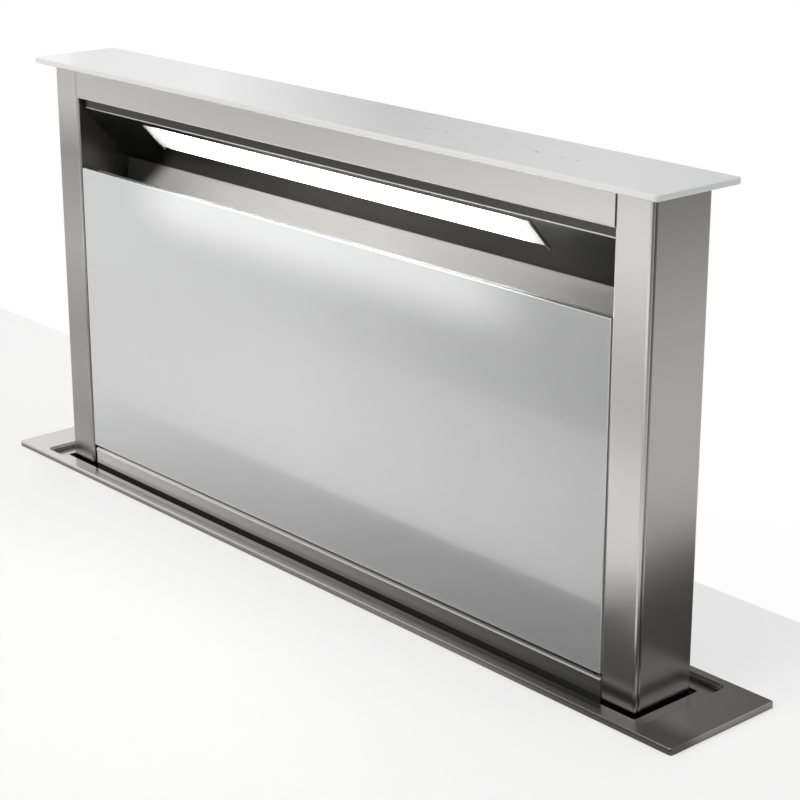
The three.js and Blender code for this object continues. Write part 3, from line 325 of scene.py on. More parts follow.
def galvanised(name, color):
    """Zinc coated sheet with a faint spangle."""
    made, t = material(name)
    cells = t.add("ShaderNodeTexVoronoi", {"Vector": t.place(), "Scale": 95.0, "Randomness": 1.0})
    spangle = t.ramp(cells.outputs["Color"], [(0.2, 0.0), (0.8, 1.0)])
    clouds = t.noise(9, detail=6)
    grain = t.noise(700, detail=2)
    base = t.mixed(spangle, tint(color, 0.93), tint(color, 1.07))
    base = t.mixed(t.ramp(clouds, [(0.45, 0.0), (0.7, 0.4)]), base, tint(color, 0.82))
    roughness = t.span(clouds, 0.35, 0.65, to=(0.40, 0.56))
    finish_surface(t, Base_Color=base, Metallic=0.9, Roughness=roughness,
                   Normal=t.bump(grain, 0.08, distance=0.0002, edge_radius=0.0005))
    return made


def satin_metal(name, color, rough, metallic=1.0):
    """Cast, drawn or turned metal: faint clouds and a fine grain."""
    made, t = material(name)
    clouds = t.noise(35, detail=6)
    grain = t.noise(1800, detail=2)
    base = t.mixed(clouds, tint(color, 0.88), tint(color, 1.08))
    roughness = t.span(clouds, 0.3, 0.7, to=(rough - 0.07, rough + 0.08))
    finish_surface(t, Base_Color=base, Metallic=metallic, Roughness=roughness,
                   Normal=t.bump(grain, 0.12, distance=0.0002, edge_radius=0.0004))
    return made


def moulded(name, color, rough, relief=0.2, shine=0.5):
    """Moulded plastic or rubber with a fine spark-eroded grain."""
    made, t = material(name)
    grain = t.noise(1500, detail=3)
    clouds = t.noise(14, detail=4)
    base = t.mixed(clouds, tint(color, 0.86), tint(color, 1.14))
    roughness = t.span(clouds, 0.3, 0.7, to=(rough - 0.07, rough + 0.07))
    finish_surface(t, Base_Color=base, Roughness=roughness, Specular_IOR_Level=shine,
                   Normal=t.bump(grain, relief, distance=0.0003, edge_radius=0.0006))
    return made


BROAD_FACE = 0.9              # more than this of a normal along Y or Z is a broad face's, not a rim's
PAINTED_DIMMING_X = (-0.02, 0.36)        # from where to where the painted shade on the glass grows
GLOW_Z = (0.225, 0.297)       # from where to where upwards the painted glow of the lamp grows
GLOW_HALF = (0.30, 0.16)      # the same inwards, from the glass's middle


def with_mark(t, at, base, mark):
    """A base colour with one touch mark on it."""
    x, (half_width, half_depth), ink = mark
    across = t.maths("DIVIDE", t.maths("ABSOLUTE", t.maths("SUBTRACT", at["X"], x)), half_width)
    along = t.maths("DIVIDE", t.maths("ABSOLUTE", t.maths("SUBTRACT", at["Y"], MARKS_Y)), half_depth)
    return t.mixed(t.maths("LESS_THAN", t.highest(across, along), 1.0), base, ink)


def painted_lamp_glow(t, at, strength):
    """A painted glow on the glass under its top edge, which stands for the lamp's light there."""
    up = t.span(at["Z"], *GLOW_Z, curve="SMOOTHERSTEP")
    inward = t.span(t.maths("ABSOLUTE", at["X"]), *GLOW_HALF, curve="SMOOTHERSTEP")
    return t.times(t.maths("POWER", up, 2.0), inward, strength)


def backed_glass(name, color, rim, marks=(), glow=0.0, mirror=0.0, coat=1.0, painted_dimming=0.0):
    """Toughened glass, enamelled white on its back: polished, a little green at its edges.

    marks are printed on it. glow is the strength of a painted glow of the lamp's light under the top
    edge, mirror how metallic the enamel is, and the last argument how much painted shade darkens its
    colour towards the right end."""
    made, t = material(name)
    at = t.axes()
    base = t.mixed(t.noise(3, detail=2), tint(color, 0.985), tint(color, 1.01))
    # Painted shade: the colour darkens towards the right end.
    if painted_dimming:
        base = t.mixed(t.span(at["X"], *PAINTED_DIMMING_X), base, tint(color, 1 - painted_dimming))
    outwards = t.axes(t.add("ShaderNodeTexCoord").outputs["Normal"])
    widest = t.highest(t.maths("ABSOLUTE", outwards["Y"]), t.maths("ABSOLUTE", outwards["Z"]))
    base = t.mixed(t.maths("GREATER_THAN", widest, BROAD_FACE), rim, base)
    for mark in marks:
        base = with_mark(t, at, base, mark)
    # Painted light: the glass glows under its top edge, though it is no lamp.
    emission = painted_lamp_glow(t, at, glow) if glow else 0.0
    ripple = t.noise(26, detail=1)
    finish_surface(t, Base_Color=base, Metallic=mirror, Roughness=0.16,
                   Coat_Weight=coat, Coat_Roughness=0.03, Coat_IOR=1.52,
                   Emission_Color=(1, 1, 1, 1), Emission_Strength=emission,
                   Normal=t.bump(ripple, 0.015, distance=0.0005, edge_radius=0.0005))
    return made


MESH_PITCH = 0.0032                   # from hole to hole
MESH_LOW, MESH_HIGH = 0.0365, 0.2385  # the mesh inside the filters' frames
MESH_HOLE = 0.34                      # where the slanted waves' product is larger, there is a hole


def knitted_mesh(name, color):
    """Aluminium mesh of a grease filter: holes in a fine slanted grid, painted dark for the shade seen
    through them, and plain on the border.
    """
    made, t = material(name)
    at = t.axes()
    leans = []
    for operation in ("ADD", "SUBTRACT"):
        aslant = t.maths(operation, at["X"], at["Z"])
        leans.append(t.maths("SINE", t.times(aslant, math.pi / MESH_PITCH)))
    holes = t.maths("GREATER_THAN", t.maths("ABSOLUTE", t.times(*leans)), MESH_HOLE)
    over = t.maths("GREATER_THAN", at["Z"], MESH_LOW)
    under = t.maths("LESS_THAN", at["Z"], MESH_HIGH)
    holes = t.times(holes, over, under)
    threads = t.mixed(t.noise(40, detail=4), tint(color, 0.85), color)
    # Painted shade: the holes are coloured nearly black.
    base = t.mixed(holes, threads, tint(color, 0.12))
    finish_surface(t, Base_Color=base, Metallic=0.9, Roughness=0.4,
                   Normal=t.bump(holes, 0.4, distance=0.0006, edge_radius=0.0004))
    return made


LAMP_FADE = 0.0235        # length over which the lamp fades at each end
LAMP_DIMMEST = 0.03       # what is left of its light at the very end


def lit_diffuser(name, strength):
    """Opal sheet with the lamp behind it, which fades at both ends."""
    made, t = material(name)
    base = t.mixed(t.noise(60, detail=2), (0.9, 0.9, 0.9), (0.96, 0.96, 0.96))
    out = t.maths("ABSOLUTE", t.axes()["X"])
    inward = t.span(out, LAMP_END, LAMP_END - LAMP_FADE, curve="SMOOTHSTEP")
    lit = t.maths("ADD", t.times(t.maths("POWER", inward, 4.0), 1 - LAMP_DIMMEST), LAMP_DIMMEST)
    finish_surface(t, Base_Color=base, Roughness=0.4, Emission_Color=(1, 0.99, 0.97, 1),
                   Emission_Strength=t.times(lit, strength))
    return made


def printed_board(name):
    """Solder mask over copper tracks."""
    made, t = material(name)
    tracks = t.add("ShaderNodeTexBrick", {
        "Vector": t.place(), "Scale": 160.0, "Mortar Size": 0.02, "Color1": (0, 0, 0, 1),
        "Color2": (0.2, 0.2, 0.2, 1), "Mortar": (1, 1, 1, 1)}).outputs["Color"]
    base = t.mixed(tracks, (0.012, 0.07, 0.03), (0.03, 0.16, 0.07))
    finish_surface(t, Base_Color=base, Roughness=0.4, Coat_Weight=0.4, Coat_Roughness=0.2)
    return made


# ------------------------------------------------------------------ looks

STEEL = (0.66, 0.645, 0.625)
UPRIGHT = {"grain": "z", "rough": 0.25, "streak": 0.014, "relief": 0.004, "uneven": 0.004}

steel_up = brushed("stainless_upright", STEEL, **UPRIGHT)
# The post, side cover and frame steel carry painted shade by place.
steel_post = brushed("stainless_post", STEEL, shaded=post_painted_shade, **UPRIGHT)
steel_cover = brushed("stainless_side_cover", (0.64, 0.62, 0.595), shaded=cover_corner_painted_shade, **UPRIGHT)
# Painted light and shade: a lighter, hardly metallic copy of the stainless so that the rail shows
# brighter, darkened along its length by painted shade.
painted_rail_steel = brushed("stainless_lengthwise_painted", (0.86, 0.85, 0.83), "x", rough=0.25, relief=0.02,
                     metallic=0.25, shaded=rail_painted_shade, shade_brightness=0.03)
steel_frame = brushed("stainless_frame", (0.66, 0.645, 0.62), "x", rough=0.22, relief=0.02,
                      shaded=frame_painted_shade)
# Painted shade: a nearly black copy of the stainless, with its edge tint lowered, for the canopy deep in
# the slot.
painted_shade_canopy_steel = brushed("stainless_canopy_painted_shade", (0.085, 0.084, 0.081), "x", rough=0.22, edge_tint=0.6)
# Painted light and shade: a lighter, hardly metallic copy of the stainless so that the rear sheet shows
# brighter, darkened towards its ends by painted shade.
painted_deflector_steel = brushed("stainless_deflector_painted", (0.93, 0.915, 0.89), "x", rough=0.24, metallic=0.3,
                          shaded=deflector_painted_shade, shade_brightness=0.02)
# Painted highlight: a nearly white, hardly metallic copy of the stainless for the rail's bright rim,
# darkened to the right by painted shade.
rim_painted_highlight = brushed("rail_rim_painted_highlight", (0.97, 0.965, 0.955), "x", rough=0.3, relief=0.005,
                    metallic=0.1, soft_edge=0.0001, shaded=base_painted_shade, shade_brightness=0.45)
edge_steel = satin_metal("polished_edge", (0.82, 0.815, 0.805), rough=0.3)

zinc = galvanised("zinc_sheet", (0.60, 0.62, 0.63))
aluminium = satin_metal("satin_aluminium", (0.72, 0.73, 0.74), rough=0.38)
shaft_steel = satin_metal("ground_steel", (0.56, 0.56, 0.57), rough=0.22)
motor_cast = satin_metal("motor_casing", (0.22, 0.225, 0.23), rough=0.45, metallic=0.6)
black_plastic = moulded("black_plastic", (0.022, 0.022, 0.024), rough=0.46)
grey_plastic = moulded("grey_plastic", (0.15, 0.155, 0.16), rough=0.5)
acetal = moulded("white_acetal", (0.80, 0.79, 0.76), rough=0.38, relief=0.1)
rubber = moulded("seal_rubber", (0.008, 0.008, 0.008), rough=0.8, relief=0.3, shine=0.1)

# The touch marks on the lid: a size is half width and half depth, and a mark is x, size and colour.
MARKS_Y = -0.002
DASH, DOT, POWER_DOT = (0.0042, 0.0005), (0.0012, 0.0012), (0.0016, 0.0016)
DASH_INK, DOT_INK, POWER_INK = (0.45, 0.46, 0.47), (0.50, 0.51, 0.52), (0.62, 0.38, 0.34)
TOUCH_MARKS = [
    (0.1140, DASH, DASH_INK), (0.1380, DOT, DOT_INK), (0.2370, POWER_DOT, POWER_INK),
    (0.2630, DASH, DASH_INK), (0.2800, DOT, DOT_INK),
]
lid_glass = backed_glass("white_glass", (0.87, 0.875, 0.875), rim=(0.80, 0.83, 0.825),
                         marks=TOUCH_MARKS, coat=0.3)
# The panel glass carries a painted glow under its top edge and painted shade to the right.
panel_glass_painted = backed_glass("panel_glass_painted", (0.66, 0.665, 0.67), rim=(0.74, 0.79, 0.78),
                           glow=0.30, mirror=0.4, painted_dimming=0.27)
filter_mesh = knitted_mesh("filter_mesh", (0.70, 0.71, 0.72))
diffuser = lit_diffuser("opal_diffuser", 9.5)
board = printed_board("solder_mask")

SLOT_LOOKS = {
    "stainless": steel_up, "dark_stainless": steel_frame, "galvanised": zinc,
    "white_glass": lid_glass, "diffuser": diffuser, "aluminium": aluminium,
    "black_plastic": black_plastic, "grey_plastic": grey_plastic, "white_plastic": acetal,
    "seal_rubber": rubber, "motor_casing": motor_cast, "shaft_steel": shaft_steel,
    "circuit_board": board,
}
OWN_LOOKS = {
    "post_left": steel_post, "post_right": steel_post,
    "side_cover_left": steel_cover, "side_cover_right": steel_cover,
    "rear_deflector": painted_deflector_steel, "bottom_rail": painted_rail_steel, "intake_canopy": painted_shade_canopy_steel,
    "front_glass": panel_glass_painted, "grease_filter_left": filter_mesh, "grease_filter_right": filter_mesh,
}

for part in frame["record"]["subparts"]:
    look = OWN_LOOKS.get(part["node"], SLOT_LOOKS[part["material_slot"]])
    mesh = nodes[part["node"]].data
    mesh.materials.clear()
    mesh.materials.append(look)


# ------------------------------------------------------------------ shapes of small pieces

FRONT, BACK = Vector((0, -1, 0)), Vector((0, 1, 0))
LEFT, RIGHT = Vector((-1, 0, 0)), Vector((1, 0, 0))
SAME_POINT = 1e-7                 # points this near are one
SHARP_ANGLE = math.radians(35)    # an edge sharper than this isn't shaded smooth
BEAD_ARC_STEPS = 8


def piece(name, work, body, look):
    """A finished piece: it rides on a body and takes the finish it is given."""
    bmesh.ops.remove_doubles(work, verts=work.verts[:], dist=SAME_POINT)
    bmesh.ops.recalc_face_normals(work, faces=work.faces[:])
    mesh = bpy.data.meshes.new(name)
    work.to_mesh(mesh)
    work.free()
    mesh.materials.append(look)
    mesh.shade_smooth()
    mesh.set_sharp_from_angle(angle=SHARP_ANGLE)
    made = bpy.data.objects.new(name, mesh)
    bpy.context.scene.collection.objects.link(made)
    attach(made, body)


def middle(box):
    """The middle of a box that is given by its two corners."""
    low, high = box
    return (low + high) / 2


def steps(first, step, count):
    """Places in even steps."""
    return [first + step * k for k in range(count)]


def facing(at, normal):
    """Stands a shape drawn round +Z on a place, facing outwards."""
    return Matrix.Translation(at) @ normal.to_track_quat("Z", "Y").to_matrix().to_4x4()


def skin(work, rows, close=True):
    """Bands of faces between rows of points, with a face over each end unless close is off."""
    for near, far in zip(rows, rows[1:]):
        for k in range(len(near)):
            n = (k + 1) % len(near)
            work.faces.new((near[k], near[n], far[n], far[k]))
    if close:
        work.faces.new(rows[0])
        work.faces.new(rows[-1])


def rings(work, profile, stand, sides=12, close=True):
    """Turned shape: rows of (radius, height), or (radius, height, True) for a six-sided row."""
    rows = []
    for radius, height, *six_sided in profile:
        points = []
        for angle in steps(0, 2 * math.pi / sides, sides):
            reach = radius
            if six_sided:
                within = (angle + math.pi / 6) % (math.pi / 3) - math.pi / 6
                reach = radius * math.cos(math.pi / 6) / math.cos(within)
            point = Vector((reach * math.cos(angle), reach * math.sin(angle), height))
            points.append(work.verts.new(stand @ point))
        rows.append(points)
    skin(work, rows, close)


def screw(work, at, normal, radius=0.0034, height=0.0021):
    """A button head screw with a six-sided socket, on a thin washer face."""
    r, h = radius, height
    head = [(r * 1.18, 0.0), (r * 1.18, h * 0.16), (r, h * 0.2), (r * 0.97, h * 0.45),
            (r * 0.84, h * 0.78), (r * 0.62, h)]
    socket = [(r * 0.47, h, True), (r * 0.45, h * 0.9, True), (r * 0.45, h * 0.35, True)]
    rings(work, head + socket, facing(at, normal))


def hex_bolt(work, at, normal, radius=0.005, height=0.0035):
    """A hexagon head on a washer."""
    r, h = radius, height
    washer = [(r * 1.35, 0.0), (r * 1.35, h * 0.25)]
    head = [(r, h * 0.26, True), (r, h * 0.9, True), (r * 0.86, h, True)]
    rings(work, washer + head, facing(at, normal))


def spot(work, at, normal):
    """The shallow print of a spot weld."""
    r = 0.0026
    profile = [(r, 0.0), (r * 0.9, 0.00022), (r * 0.55, 0.0003), (r * 0.3, 0.00016)]
    rings(work, profile, facing(at, normal))


def bead(work, start, end, normal, width=0.012, height=0.0016):
    """A long low rib with round ends, such as a stiffening bead or a bright edge."""
    start, end = Vector(start), Vector(end)
    run = (end - start).normalized()
    across = normal.cross(run)
    rows = []
    for reach, lift in ((1.0, 0.0), (0.82, 0.35), (0.62, 0.8), (0.38, 1.0)):
        outline = []
        for centre, first in ((start, 90), (end, -90)):
            for turn in steps(first, 180 / BEAD_ARC_STEPS, BEAD_ARC_STEPS + 1):
                angle = math.radians(turn)
                out = run * math.cos(angle) + across * math.sin(angle)
                point = centre + out * (width / 2 * reach) + normal * (height * lift)
                outline.append(work.verts.new(point))
        rows.append(outline)
    skin(work, rows)


def rounded_block(work, low, high, radius):
    """A block with all its edges rounded."""
    low, high = Vector(low), Vector(high)
    size = Matrix.Diagonal((*(high - low), 1.0))
    made = bmesh.ops.create_cube(work, size=1.0, matrix=Matrix.Translation(middle((low, high))) @ size)
    edges = {edge for vert in made["verts"] for edge in vert.link_edges}
    bmesh.ops.bevel(work, geom=list(edges), offset=radius, segments=3, affect="EDGES", profile=0.5)


# ------------------------------------------------------------------ chassis

SCREWS_PER_ROW = 6

# Rows of screws: how far in from an edge they stand, how far under the top they start, their pitch.
FLANGE_SCREW_INSET, FLANGE_SCREW_TOP, FLANGE_SCREW_PITCH = 0.007, 0.04, 0.1225
RACK_SCREW_INSET, RACK_SCREW_TOP, RACK_SCREW_PITCH = 0.008, 0.02, 0.079
GUIDE_SCREW_TOP, GUIDE_SCREW_PITCH = 0.03, 0.083

WELD_XS = steps(-0.384, 0.064, 13)
WELD_LOW, WELD_HIGH = 0.008, 0.012    # from the lower and the upper edge
BEAD_INSET = 0.06                     # from the edge of a sheet to the ends of its beads
FRONT_BEAD_XS, FRONT_BEAD_END = steps(-0.33, 0.09, 6), -0.375   # they end above the blower
SHORT_BEAD_XS, SHORT_BEAD_END = (0.21, 0.36), -0.29             # they end above the control box
REAR_BEAD_XS, REAR_BEAD_START = (-0.36, -0.2, -0.1, 0.0, 0.1, 0.2, 0.36), -0.13
CLAMP_SHEET = 0.002                   # thickness of a clamp's leg
CLAMP_BOLT_YS = (-0.014, 0.014)
CLAMP_BOLT_DROP = 0.006               # from the middle of the clamp's height down to its bolts


def chassis_screws():
    """Screws down the flanges of the side panels, and those that hold the guides and racks."""
    low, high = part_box("chassis_side_right")
    guide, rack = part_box("guide_rail_right"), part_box("lift_rack_right")
    work = bmesh.new()
    flange_x = high.x - FLANGE_SCREW_INSET
    for z in steps(high.z - FLANGE_SCREW_TOP, -FLANGE_SCREW_PITCH, SCREWS_PER_ROW):
        for x in (-flange_x, flange_x):
            screw(work, (x, low.y, z), FRONT)
            screw(work, (x, high.y, z), BACK)
    guide_y, rack_y = middle(guide).y, rack[1].y - RACK_SCREW_INSET
    guide_zs = steps(guide[1].z - GUIDE_SCREW_TOP, -GUIDE_SCREW_PITCH, SCREWS_PER_ROW)
    rack_zs = steps(rack[1].z - RACK_SCREW_TOP, -RACK_SCREW_PITCH, SCREWS_PER_ROW)
    for guide_z, rack_z in zip(guide_zs, rack_zs):
        for x, normal in ((-high.x, LEFT), (high.x, RIGHT)):
            screw(work, (x, guide_y, guide_z), normal)
            screw(work, (x, rack_y, rack_z), normal)
    piece("chassis_screws", work, "chassis", shaft_steel)


def panel_faces():
    """Y of the front panel's outside and of the rear panel's."""
    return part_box("chassis_front_panel")[0].y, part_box("chassis_rear_panel")[1].y


def spot_welds():
    """Two rows of welds on the front panel and on the rear one."""
    low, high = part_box("chassis_side_right")
    front_y, rear_y = panel_faces()
    work = bmesh.new()
    for x in WELD_XS:
        for z in (low.z + WELD_LOW, high.z - WELD_HIGH):
            spot(work, (x, front_y, z), FRONT)
            spot(work, (x, rear_y, z), BACK)
    piece("spot_welds", work, "chassis", zinc)


def stiffening_beads():
    """Upright beads in the front panel and in the rear one."""
    low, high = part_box("chassis_side_right")
    front_y, rear_y = panel_faces()
    work = bmesh.new()
    long_ones = [(x, FRONT_BEAD_END) for x in FRONT_BEAD_XS]
    short_ones = [(x, SHORT_BEAD_END) for x in SHORT_BEAD_XS]
    for x, end_z in long_ones + short_ones:
        bead(work, (x, front_y, high.z - BEAD_INSET), (x, front_y, end_z), FRONT)
    for x in REAR_BEAD_XS:
        bead(work, (x, rear_y, REAR_BEAD_START), (x, rear_y, low.z + BEAD_INSET), BACK)
    piece("stiffening_beads", work, "chassis", zinc)


def clamp_bolts():
    """Two bolts in the leg of each worktop clamp."""
    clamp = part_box("clamp_bracket_right")
    x, z = clamp[0].x + CLAMP_SHEET, middle(clamp).z - CLAMP_BOLT_DROP
    work = bmesh.new()
    for y in CLAMP_BOLT_YS:
        hex_bolt(work, (-x, y, z), LEFT)
        hex_bolt(work, (x, y, z), RIGHT)
    piece("clamp_bolts", work, "chassis", shaft_steel)


# ------------------------------------------------------------------ blower, duct and control box

SMALL_SCREW = {"radius": 0.0028, "height": 0.0017}
MOTOR_SCREW = {"radius": 0.003, "height": 0.0018}
PLATE_OVER_SCROLL = 0.0023        # face of the scroll's cover, in front of the scroll
SCROLL_START, SCROLL_GROWTH = 0.091, 0.0435   # radius at the tongue, and how much it grows
SCROLL_TONGUE, SCROLL_SWEEP = -142, 308       # degrees
SCROLL_SCREWS = range(-165, -450, -28)        # degrees
OUTLET_LOWER_XS, OUTLET_UPPER_XS = (0.005, -0.035, -0.072, -0.105), (-0.062, -0.105)
OUTLET_TOP = 0.0525               # from the blower's axis down to the screws over the outlet
FLANGE_HALF = 0.0035              # from the scroll's wall to its screws, and on to its cover's edge
MOTOR_SCREW_CIRCLE = 0.027        # radius
TERMINAL_BOX_HALF = 0.017
TERMINAL_BOX_Y, TERMINAL_BOX_Z = (0.012, 0.040), (-0.004, 0.013)   # behind the motor's face, over its top
BAND_RADIUS, BAND_WIDTH = 0.0762, 0.010
BAND_SHEET, BAND_EASE, BAND_BEVEL = 0.0012, 0.0006, 0.0004   # its thickness, and its eased edges
WORM_HALF_LENGTH, WORM_HALF_WIDTH = 0.013, 0.0065
WORM_SUNK, WORM_HEIGHT, WORM_SCREW_HEIGHT = 0.001, 0.0075, 0.0032   # from the band's outside
COVER_OVER_BOX = 0.0033           # face of the control box's cover, in front of the box
COVER_SCREW_INSET = 0.008


def blower_screws():
    """Screws round the scroll's cover and its outlet, and four on the motor's face."""
    motor_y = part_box("blower_motor")[0].y
    centre = middle(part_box("blower_motor"))
    plate_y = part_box("blower_scroll")[0].y - PLATE_OVER_SCROLL
    cover_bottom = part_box("scroll_cover")[0].z
    work = bmesh.new()
    for angle in SCROLL_SCREWS:
        reach = SCROLL_START + SCROLL_GROWTH * (SCROLL_TONGUE - angle) / SCROLL_SWEEP + FLANGE_HALF
        turn = math.radians(angle)
        at = (centre.x + reach * math.cos(turn), plate_y, centre.z + reach * math.sin(turn))
        screw(work, at, FRONT, **SMALL_SCREW)
    for x in OUTLET_LOWER_XS:
        screw(work, (x, plate_y, cover_bottom + FLANGE_HALF), FRONT, **SMALL_SCREW)
    for x in OUTLET_UPPER_XS:
        screw(work, (x, plate_y, centre.z - OUTLET_TOP), FRONT, **SMALL_SCREW)
    for angle in steps(45, 90, 4):
        turn = math.radians(angle)
        x, z = MOTOR_SCREW_CIRCLE * math.cos(turn), MOTOR_SCREW_CIRCLE * math.sin(turn)
        screw(work, (centre.x + x, motor_y, centre.z + z), FRONT, **MOTOR_SCREW)
    piece("blower_screws", work, "chassis", shaft_steel)


def motor_bearing_cap():
    """The turned cap in the middle of the motor's face."""
    low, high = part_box("blower_motor")
    centre = middle((low, high))
    work = bmesh.new()
    rings(work, [(0.0155, 0.0), (0.0155, 0.0006), (0.0145, 0.0012), (0.0085, 0.0016), (0.008, 0.0011),
                 (0.0045, 0.0011), (0.004, 0.0015), (0.001, 0.0017)],
          facing((centre.x, low.y, centre.z), FRONT), sides=28)
    piece("motor_bearing_cap", work, "chassis", motor_cast)


def motor_terminal_box():
    """The small box for the motor's wires, on top of the motor."""
    low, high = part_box("blower_motor")
    x = middle((low, high)).x
    work = bmesh.new()
    rounded_block(work, (x - TERMINAL_BOX_HALF, low.y + TERMINAL_BOX_Y[0], high.z + TERMINAL_BOX_Z[0]),
                  (x + TERMINAL_BOX_HALF, low.y + TERMINAL_BOX_Y[1], high.z + TERMINAL_BOX_Z[1]),
                  radius=0.0025)
    piece("motor_terminal_box", work, "chassis", black_plastic)


def duct_end():
    """The middle of the duct collar's free end."""
    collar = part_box("duct_collar")
    return Vector((collar[1].x, middle(collar).y, middle(collar).z))


def duct_band():
    """The clamping band round the collar, with its edges eased."""
    inner, eased = BAND_RADIUS - BAND_SHEET, BAND_RADIUS - BAND_BEVEL
    half = BAND_WIDTH / 2
    work = bmesh.new()
    rings(work, [(inner, -half), (eased, -half), (BAND_RADIUS, BAND_EASE - half),
                 (BAND_RADIUS, half - BAND_EASE), (eased, half), (inner, half), (inner, -half)],
          facing(duct_end(), LEFT), sides=64, close=False)
    piece("duct_band", work, "chassis", shaft_steel)


def duct_band_screw():
    """The block of the band's worm drive, with its screw."""
    centre = duct_end()
    front, back = centre.y - WORM_HALF_LENGTH, centre.y + WORM_HALF_LENGTH
    top = centre.z + BAND_RADIUS
    work = bmesh.new()
    rounded_block(work, (centre.x - WORM_HALF_WIDTH, front, top - WORM_SUNK),
                  (centre.x + WORM_HALF_WIDTH, back, top + WORM_HEIGHT), radius=0.002)
    hex_bolt(work, (centre.x, front, top + WORM_SCREW_HEIGHT), FRONT, radius=0.0036, height=0.004)
    piece("duct_band_screw", work, "chassis", shaft_steel)


def control_box_screws():
    """A screw in each corner of the control box's cover."""
    low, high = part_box("control_box")
    inset = COVER_SCREW_INSET
    work = bmesh.new()
    for x in (low.x + inset, high.x - inset):
        for z in (low.z + inset, high.z - inset):
            screw(work, (x, low.y - COVER_OVER_BOX, z), FRONT, **SMALL_SCREW)
    piece("control_box_screws", work, "chassis", shaft_steel)


# ------------------------------------------------------------------ tower

REAR_SCREW_INSET, REAR_SCREW_ZS = 0.007, steps(0.03, 0.115, 4)
TRIM_OUTSIDE = 0.0002         # from an end of the lamp out to the middle of its trim
RIM_DROP, RIM_INSET = 0.0004, 0.001   # from the rail's upper front edge, and from its ends
FOLD_LEFT_INSET, FOLD_RIGHT_INSET = 0.006, 0.001
FOLD_RAISE = 0.0004           # the bright edge's middle lies this much over the fold
ON_FRONT = 0.0005             # what lies nearer to a part's front counts as on it


def rear_panel_screws():
    """Screws up both sides of the tower's rear panel."""
    low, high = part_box("tower_rear_panel")
    work = bmesh.new()
    for x in (low.x + REAR_SCREW_INSET, high.x - REAR_SCREW_INSET):
        for z in REAR_SCREW_ZS:
            screw(work, (x, high.y, z), BACK, radius=0.0026, height=0.0012)
    piece("rear_panel_screws", work, "tower", steel_up)


def canopy_fold():
    """The middle of the canopy's front fold, and the direction in which it slopes down."""
    low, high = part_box("intake_canopy")
    fold = Vector((0, low.y, low.z + CANOPY_DROP))
    slope = Vector((0, high.y - low.y, -CANOPY_DROP)).normalized()
    return fold, slope


def lamp_end_trims():
    """A narrow trim across each end of the lamp, on its sloping face."""
    low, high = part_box("light_diffuser")
    fold, slope = canopy_fold()
    out = Vector((0, slope.z, -slope.y))
    face = max(vertex.co.dot(out) for vertex in nodes["light_diffuser"].data.vertices)
    ends = []
    for y in (low.y, high.y):
        end = fold + slope * ((y - fold.y) / slope.y)
        ends.append(end + out * (face - end.dot(out)))
    work = bmesh.new()
    for x in (low.x - TRIM_OUTSIDE, high.x + TRIM_OUTSIDE):
        aside = Vector((x, 0, 0))
        bead(work, ends[0] + aside, ends[1] + aside, out, width=0.0024, height=0.0011)
    piece("lamp_end_trims", work, "tower", shaft_steel)


def rail_rim():
    """The upper rim of the bottom rail, under the glass, made bright by a painted highlight."""
    low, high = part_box("bottom_rail")
    vertices = nodes["bottom_rail"].data.vertices
    z = max(v.co.z for v in vertices if v.co.y < low.y + ON_FRONT) - RIM_DROP
    left, right = (low.x + RIM_INSET, low.y, z), (high.x - RIM_INSET, low.y, z)
    work = bmesh.new()
    bead(work, left, right, FRONT, width=0.0018, height=0.0011)
    piece("rail_rim", work, "tower", rim_painted_highlight)


def canopy_fold_edge():
    """The bright edge along the canopy's front fold."""
    low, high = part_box("intake_canopy")
    fold, _ = canopy_fold()
    left = fold + Vector((low.x + FOLD_LEFT_INSET, 0, FOLD_RAISE))
    right = fold + Vector((high.x - FOLD_RIGHT_INSET, 0, FOLD_RAISE))
    work = bmesh.new()
    bead(work, left, right, FRONT, width=0.0013, height=0.0007)
    piece("canopy_fold_edge", work, "tower", edge_steel)


for make in (chassis_screws, spot_welds, stiffening_beads, clamp_bolts, blower_screws,
             motor_bearing_cap, motor_terminal_box, duct_band, duct_band_screw, control_box_screws,
             rear_panel_screws, lamp_end_trims, rail_rim, canopy_fold_edge):
    make()


# ------------------------------------------------------------------ stage

WORKTOP_X, WORKTOP_Y = (-1.05, 0.86), (-0.47, 0.195)
WORKTOP_THICKNESS = 0.04
CUTOUT_X, CUTOUT_Y = 0.416, 0.054     # half of the unit's cut-out
WORKTOP_EASE = 0.0012                 # rounding of the worktop's upper edges
FLOOR_HALF = 9                        # half of the floor's width
FLOOR_GAP = 0.002                     # the chassis stands clear of the floor
WHITE_FROM, WHITE_TO = 0.7, 2.2       # between which distances the floor turns fully white
WORLD_LIGHT = 0.42                    # what the white room lights with, as a share of how it looks


def staged(name, work, look):
    """A stage object, which is no part of the vent."""
    mesh = bpy.data.meshes.new(name)
    work.to_mesh(mesh)
    work.free()
    mesh.materials.append(look)
    made = bpy.data.objects.new(name, mesh)
    bpy.context.scene.collection.objects.link(made)
    return made


